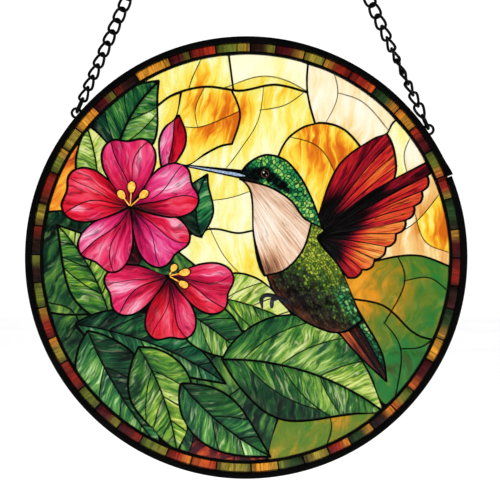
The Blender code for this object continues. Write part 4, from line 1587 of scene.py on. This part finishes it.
def nugget(points, faces, middle, turn, length, width, base, top):
    # a low glass drop, front and back
    rings, around = stamen["rings"], stamen["around"]
    for y in (-1, 1):
        first = len(points)
        points.append((middle[0], y * top, middle[1]))
        for r in range(1, rings + 1):
            share = math.sin(math.pi / 2 * r / rings)
            high = base + (top - base) * math.cos(math.pi / 2 * r / rings)
            for k in range(around):
                a = math.tau * k / around
                u = length / 2 * share * math.cos(a)
                v = width / 2 * share * math.sin(a) * (1 + 0.18 * math.cos(a))
                points.append((middle[0] + u * math.cos(turn) - v * math.sin(turn), y * high,
                               middle[1] + u * math.sin(turn) + v * math.cos(turn)))
        points.append((middle[0], y * (base - 0.2 * mm), middle[1]))
        last = len(points) - 1
        for k in range(around):
            n = (k + 1) % around
            shape = [(first, first + 1 + k, first + 1 + n)]
            for r in range(rings - 1):
                a = first + 1 + r * around
                shape.append((a + k, a + around + k, a + around + n, a + n))
            a = first + 1 + (rings - 1) * around
            shape.append((last, a + n, a + k))
            faces += [turnedOver(face, y > 0) for face in shape]


def makeStamens():
    points, faces, threads, edges, edgeFaces = [], [], [], [], []
    for own in blossoms.values():
        heart = spot(*own["heart"])
        for turn, out, length, width in own["stamens"]:
            a = math.radians(turn)
            way = np.array([math.cos(a), math.sin(a)])
            middle = heart + way * out * mm
            nugget(points, faces, middle, a, length * mm, width * mm, stamen["base"], stamen["top"])
            nugget(edges, edgeFaces, middle, a, (length + stamen["edge"]) * mm,
                   (width + stamen["edge"]) * mm, stamen["edgeBase"], stamen["edgeTop"])
            reach = np.linspace(0.5, out - length / 2 + 0.2, 12)
            threads.append(heart + np.outer(reach, way) * mm)
    newObject("stamen_nuggets", points, faces, stamenAmber)
    newObject("stamen_edges", edges, edgeFaces, leadBlack)
    beadLines("stamen_threads", threads, stamen["thread"], stamen["threadRise"],
              material=stamenAmber, base=stamen["threadBase"])


bill = {
    "from": -28, "to": -0.6, "steps": 30, "length": 31,
    "upper": (42.4, 3.0, 1.5),  # height at the head, rise to the tip, black left at the head
    "lower": (38.6, 6.8, 0.45),
    "heights": (1.7, 2.16),
}


def makeBill():
    # the blue-grey glaze leaves the bill's upper edge black
    up, down = bill["upper"], bill["lower"]
    along = np.linspace(bill["from"], bill["to"], bill["steps"])
    share = along / bill["length"]  # 0 at the head and -1 at the tip
    high = spot(along, up[0] - along * up[1] / bill["length"] - (1 + share) * up[2]).T
    low = spot(along, down[0] - along * down[1] / bill["length"] + (1 + share) * down[2]).T
    middle, half = (high + low) / 2, (high - low) / 2
    half *= np.interp(np.linspace(0, 1, bill["steps"]), [0, 0.84, 1], [1, 1, 0.25])[:, None]
    strip = np.concatenate([middle - half, (middle + half)[::-1]])
    count = len(strip)
    inner, outer = bill["heights"]
    points = [(p[0], y * mm, p[1]) for y in (-outer, -inner, inner, outer) for p in strip]
    faces = []
    for first in (0, 2 * count):
        last = first + count
        for k in range(count):
            n = (k + 1) % count
            faces.append((first + k, last + k, last + n, first + n))
        for base, over in ((first, False), (last, True)):
            for k in range(count // 2 - 1):
                face = (base + k, base + k + 1, base + count - 2 - k, base + count - 1 - k)
                faces.append(turnedOver(face, over))
    newObject("bill_glaze", points, faces, billBlue, smooth=False)


toes = {  # held forward under the belly
    "lines": [
        ((22, -23), (15, -19.5), (10, -18.5), (7.5, -20.5), (8, -25)),
        ((16, -19.8), (13, -21), (12.5, -25)),
    ],
    "width": 1.9 * mm, "rise": 0.6 * mm, "taper": 0.62,
}
makeStamens()
makeBill()
beadLines("toe_beads", [curve(*line) for line in toes["lines"]], toes["width"], toes["rise"],
          material=toeBlue, taper=toes["taper"])
print("stamens, bill and feet laid on")

border = {
    "tiles": 48,
    "gap": 0.16 * mm,
    "outer": 98.1 * mm,
    "wander": 0.35,
    "order": (0.18, 0.42, 0.3, 0.05, 0.8, 0.92, 0.68, 0.18, 0.68, 0.8, 0.3, 0.05, 0.55),
    "across": 8, "deep": 5,
    "softEdge": 0.12 * mm, "swell": 0.06 * mm,
    "inset": 0.05 * mm,
    "barWidth": 0.68 * mm, "barRise": 0.40 * mm, "barInside": 0.4 * mm, "barOuter": 97.2 * mm,
}


def makeBorder():
    dice = random.Random(11)
    step = math.tau / border["tiles"]
    wander = border["wander"]
    joints = [step * (k + wander * dice.uniform(-0.5, 0.5)) for k in range(border["tiles"])]
    inner, outer = panel["borderInner"] + border["inset"], border["outer"]
    across, deep = border["across"], border["deep"]
    rows = deep + 1
    half = (across + 1) * rows
    around = [i * rows for i in range(across)] + [across * rows + j for j in range(deep)]
    around += [i * rows + deep for i in range(across, 0, -1)] + list(range(deep, 0, -1))
    points, faces, flows, tones, casts = [], [], [], [], []
    for k, start in enumerate(joints):
        end = joints[(k + 1) % len(joints)] + (math.tau if k == len(joints) - 1 else 0)
        tone = border["order"][(k * 5 + dice.randrange(3)) % len(border["order"])]
        turned = dice.random() < 0.5
        first = len(points)
        for y in (-1, 1):
            for i in range(across + 1):
                for j in range(deep + 1):
                    radius = inner + (outer - inner) * j / deep
                    gap = border["gap"] / 2 / radius
                    a = start + gap + (end - start - 2 * gap) * i / across
                    swell = border["swell"] * math.sin(k * 2.1 + i * 0.9 + j * 1.3)
                    atEdge = i in (0, across) or j in (0, deep)
                    lift = panel["glassHalf"] - (border["softEdge"] if atEdge else swell)
                    way = a - start
                    points.append((radius * math.cos(a), y * lift, centreZ + radius * math.sin(a)))
                    flows.append((way * radius / mm, (radius - inner) / mm + way * 60, k * 5.1))
                    tones.append(tone)
                    casts.append(1 - i / across if turned else i / across)
        for i in range(across):
            for j in range(deep):
                a = first + i * rows + j
                b = a + half
                faces.append((a, a + 1, a + rows + 1, a + rows))
                faces.append((b, b + rows, b + rows + 1, b + 1))
        for n, a in enumerate(around):
            b = around[(n + 1) % len(around)]
            faces.append((first + a, first + b, first + b + half, first + a + half))
    obj = newObject("border_tiles", points, faces, glass["border"], sharp=50)
    setLook(obj, flow=flows, tone=tones, cast=casts)
    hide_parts(*[f"border_glass_{k}" for k in range(1, 5)])

    # a narrow bar of solder over each joint, front and back
    reach = np.linspace(inner - border["barInside"], border["barOuter"], 7)
    bars = [
        np.outer(reach, (math.cos(a), math.sin(a))) + np.array([0, centreZ]) for a in joints
    ]
    beadLines("border_bars", bars, border["barWidth"], border["barRise"], taper=0.0, across=4)


makeBorder()
print("border tiles set")

rim = {
    "seam": math.radians(21.8),
    "seamGap": 0.4 * mm,
    "flare": 0.8 * mm,  # the upper end stands this proud of the lower one
    "flareRun": 9.0 * mm,
    "steps": 360,
    "groove": 1.5 * mm,
    "channel": 1.8 * mm,
    "corner": 0.7 * mm,
    "lipCorner": 0.3 * mm,
    "lipSoft": 0.08 * mm,
    "handBent": 0.05 * mm,
}


def eased(t):
    t = min(1.0, max(0.0, t))
    return t * t * (3 - 2 * t)


def rimSection(grow):
    # the channel's outline as (radius, y): rounded back, two lips, and the groove for the glass
    half, outer, lip = panel["rimDepth"] / 2, panel["rimRadius"], panel["lipRadius"]
    soft, chamfer, small = rim["corner"], rim["lipCorner"], rim["lipSoft"]
    line = []
    for cy, start in ((-half + soft, -90), (half - soft, 0)):
        for s in range(6):
            a = math.radians(start + 18 * s)
            line.append((outer + grow - soft + soft * math.cos(a), cy + soft * math.sin(a)))
    upper = [
        (lip + chamfer, half), (lip + small, half - small), (lip, half - chamfer),
        (lip, rim["channel"]), (outer - rim["groove"], rim["channel"]),
    ]
    return line + upper + [(radius, -y) for radius, y in reversed(upper)]


def makeRim():
    gap = rim["seamGap"] / panel["rimRadius"] / 2
    steps = rim["steps"]
    points, faces = [], []
    for k in range(steps + 1):
        a = rim["seam"] + gap + (math.tau - 2 * gap) * k / steps
        run = (a - rim["seam"]) * panel["rimRadius"] / rim["flareRun"]
        grow = rim["flare"] * eased(1 - run)
        grow += rim["handBent"] * math.sin(a * 7 + 1) * math.sin(a * 3)
        line = rimSection(grow)
        points += [(radius * math.cos(a), y, centreZ + radius * math.sin(a)) for radius, y in line]
    sides = len(line)
    for k in range(steps):
        for s in range(sides):
            a, b = k * sides + s, k * sides + (s + 1) % sides
            faces.append((a, b, b + sides, a + sides))
    faces.append(tuple(range(sides))[::-1])
    faces.append(tuple(range(steps * sides, (steps + 1) * sides)))
    obj = newObject("rim_channel", points, faces, rimBlack, sharp=40)
    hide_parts("rim")


makeRim()
print("rim bent")

hanging = {
    "leftEye": math.radians(-49.6),
    "rightEye": math.radians(55.0),
    "eyeRadius": 2.1 * mm,
    "eyeReach": 1.0 * mm,
    "eyeWire": 1.25 * mm,
    "eyeInside": 0.9 * mm,  # no wire further inside the rim than this
    "ringRadius": 6.0 * mm,
    "ringWire": 1.6 * mm,
    "linkWire": 1.3 * mm,
    "linkPitch": 5.6 * mm,
    "linkWidth": 5.9 * mm,
    "twist": 0.8 * mm,
    "bite": 0.2 * mm,
    "clearance": 0.3 * mm,
    "eyeSteps": (36, 12),  # round the loop and round the wire
    "ringSteps": (72, 16),
    "linkSteps": (28, 10),
    "leftTurn": (0.70, 1.0, 0.85),  # where the strand starts and ends to turn, and by how much
    "rightTurn": (0.655, 1.03, math.pi),
}


def wireLoop(line, middle, radius, sides):
    points, faces = [], []
    count = len(line)
    for k, here in enumerate(line):
        run = (line[(k + 1) % count] - line[k - 1]).normalized()
        inward = middle - here
        up = (inward - run * inward.dot(run)).normalized()
        side = run.cross(up)
        for s in range(sides):
            turn = math.tau * s / sides
            points.append(here + (up * math.cos(turn) + side * math.sin(turn)) * radius)
    for k in range(count):
        for s in range(sides):
            a, b = k * sides + s, k * sides + (s + 1) % sides
            faces.append((a, b, (b + sides) % (count * sides), (a + sides) % (count * sides)))
    return points, faces


def circleLine(middle, radius, steps):
    angles = [math.tau * k / steps for k in range(steps)]
    return [middle + Vector((radius * math.sin(a), 0, radius * math.cos(a))) for a in angles]


def eyeCentre(angle):
    reach = panel["rimRadius"] + hanging["eyeReach"]
    return panel["centre"] + Vector((math.sin(angle), 0, math.cos(angle))) * reach


def linkLine(middle, run, roll, length, width, twist):
    # a slightly squared oval, twisted as curb links are
    front = Matrix.Rotation(roll, 3, run) @ Vector((0, -1, 0))
    across = run.cross(front)
    steps = hanging["linkSteps"][0]
    line = []
    for k in range(steps):
        a = math.tau * k / steps
        c, s = (math.copysign(abs(v) ** 0.85, v) for v in (math.cos(a), math.sin(a)))
        here = middle + run * (length / 2 * c) + across * (width / 2 * s)
        line.append(here + front * (twist * math.sin(2 * a)))
    return line


def makeStrand(name, ringMiddle, eyeMiddle, turn):
    turnStart, turnEnd, turnBy = turn
    run = (eyeMiddle - ringMiddle).normalized()
    wire = hanging["linkWire"]
    radius = (wire + hanging["bite"]) / 2
    atRing = hanging["ringRadius"] - hanging["ringWire"] / 2 - radius - hanging["clearance"]
    atEye = hanging["eyeRadius"] - hanging["eyeWire"] / 2 - radius - hanging["clearance"]
    top, low = ringMiddle + run * atRing, eyeMiddle - run * atEye
    span = (low - top).length
    count = round((span - wire) / hanging["linkPitch"])
    pitch = (span - wire) / count
    length = pitch + wire
    width = hanging["linkWidth"] - wire
    points, faces = [], []
    for k in range(count):
        endLink = k in (0, count - 1)
        turned = max(0.0, (k / (count - 1) - turnStart) / (turnEnd - turnStart))
        roll = math.pi / 2 if endLink else turnBy * turned
        middle = top + run * (length / 2 + pitch * k)
        line = linkLine(middle, run, roll, length, width, 0.0 if endLink else hanging["twist"])
        more, loops = wireLoop(line, middle, wire / 2, hanging["linkSteps"][1])
        faces += [tuple(i + len(points) for i in f) for f in loops]
        points += more
    obj = newObject(name + "_links", points, faces, chainBlack)
    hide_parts(name)
    print(name, "has", count, "links")


def makeEye(name, angle):
    middle = eyeCentre(angle)
    steps, sides = hanging["eyeSteps"]
    line = circleLine(middle, hanging["eyeRadius"], steps)
    points, faces = wireLoop(line, middle, hanging["eyeWire"] / 2, sides)
    least = panel["rimRadius"] - hanging["eyeInside"]
    for k, p in enumerate(points):
        off = p - panel["centre"]
        flat = Vector((off.x, 0, off.z))
        if flat.length < least:
            flat = flat.normalized() * least
        points[k] = panel["centre"] + Vector((flat.x, off.y, flat.z))
    obj = newObject(name + "_loop", points, faces, chainBlack)
    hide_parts(name)


def makeRing(ringMiddle):
    steps, sides = hanging["ringSteps"]
    line = circleLine(ringMiddle, hanging["ringRadius"], steps)
    points, faces = wireLoop(line, ringMiddle, hanging["ringWire"] / 2, sides)
    ring = newObject("hook_ring", points, faces, chainBlack)
    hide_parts("hanging_ring")


ringMiddle = Vector((0, 0, hanging["ringWire"] / 2 - hanging["ringRadius"]))
for side in ("left", "right"):
    makeEye("eye_" + side, hanging[side + "Eye"])
for side in ("left", "right"):
    eyeMiddle = eyeCentre(hanging[side + "Eye"])
    makeStrand("chain_" + side, ringMiddle, eyeMiddle, hanging[side + "Turn"])
makeRing(ringMiddle)
print("hung on its ring")

studio = {
    "floorDrop": 0.46,
    "floorSize": 4.0,
    "brightness": 1.08,
    "gloss": 0.12,  # what shiny surfaces see of the bright room
    "boxes": {  # place, size and power of each soft box
        "softBoxLeft": ((-0.75, -0.9, 0.35), 0.6, 4.0),
        "softBoxRight": ((0.9, -0.6, 0.1), 0.5, 2.5),
        "softBoxBehind": ((0.4, 0.9, 0.5), 0.6, 3.0),
    },
}


def makeFloor():
    values = {"Roughness": 0.9, "Specular IOR Level": 0.1}
    material, w, shader = startMaterial("paleFloor", **values)
    place = w.node("ShaderNodeTexCoord").outputs["Object"]
    greys = [(0.3, (0.93, 0.93, 0.93)), (0.7, (0.96, 0.96, 0.96))]
    w.link(w.ramp(w.noise(place, 3.0, 2.0), greys), shader.inputs["Base Color"])
    size, low, steps = studio["floorSize"], -studio["floorDrop"], 96
    angles = [math.tau * k / steps for k in range(steps)]
    points = [(0, 0, low)] + [(size * math.cos(a), size * math.sin(a), low) for a in angles]
    faces = [(0, k + 1, (k + 1) % steps + 1) for k in range(steps)]
    floor = newObject("pale_floor", points, faces, material, smooth=False, ride=False)


def makeRoom():
    world = bpy.data.worlds.new("softWhiteRoom")
    bpy.context.scene.world = world
    world.use_nodes = True
    w = Wires(world.node_tree)
    back = world.node_tree.nodes["Background"]
    back.inputs["Color"].default_value = (1, 1, 1, 1)
    rays = w.node("ShaderNodeLightPath").outputs
    through = w.math("SUBTRACT", 1.0, rays["Is Transmission Ray"])
    mirror = w.math("MULTIPLY", rays["Is Glossy Ray"], through)
    dimmed = w.math("MULTIPLY", mirror, studio["brightness"] - studio["gloss"])
    w.link(w.math("SUBTRACT", studio["brightness"], dimmed), back.inputs["Strength"])
    for name, (place, size, power) in studio["boxes"].items():
        lamp = bpy.data.lights.new(name, "AREA")
        lamp.size = size
        lamp.energy = power
        holder = bpy.data.objects.new(name, lamp)
        holder.location = place
        towards = panel["centre"] - Vector(place)
        holder.rotation_euler = towards.to_track_quat("-Z", "Y").to_euler()
        bpy.context.scene.collection.objects.link(holder)


makeFloor()
makeRoom()
print("room lit")

view = {"lens": 100.0, "sensor": 36.0, "width": 226.6 * mm, "aimX": 1.72 * mm, "aimZ": -241.6 * mm}
camera = bpy.data.objects.new("camera", bpy.data.cameras.new("camera"))
camera.data.lens = view["lens"]
camera.data.sensor_width = view["sensor"]
camera.location = (view["aimX"], -view["width"] * view["lens"] / view["sensor"], view["aimZ"])
camera.rotation_euler = (math.radians(90), 0, 0)
bpy.context.scene.collection.objects.link(camera)
bpy.context.scene.camera = camera
bpy.context.scene.view_settings.view_transform = "Standard"
bpy.context.scene.view_settings.look = "None"
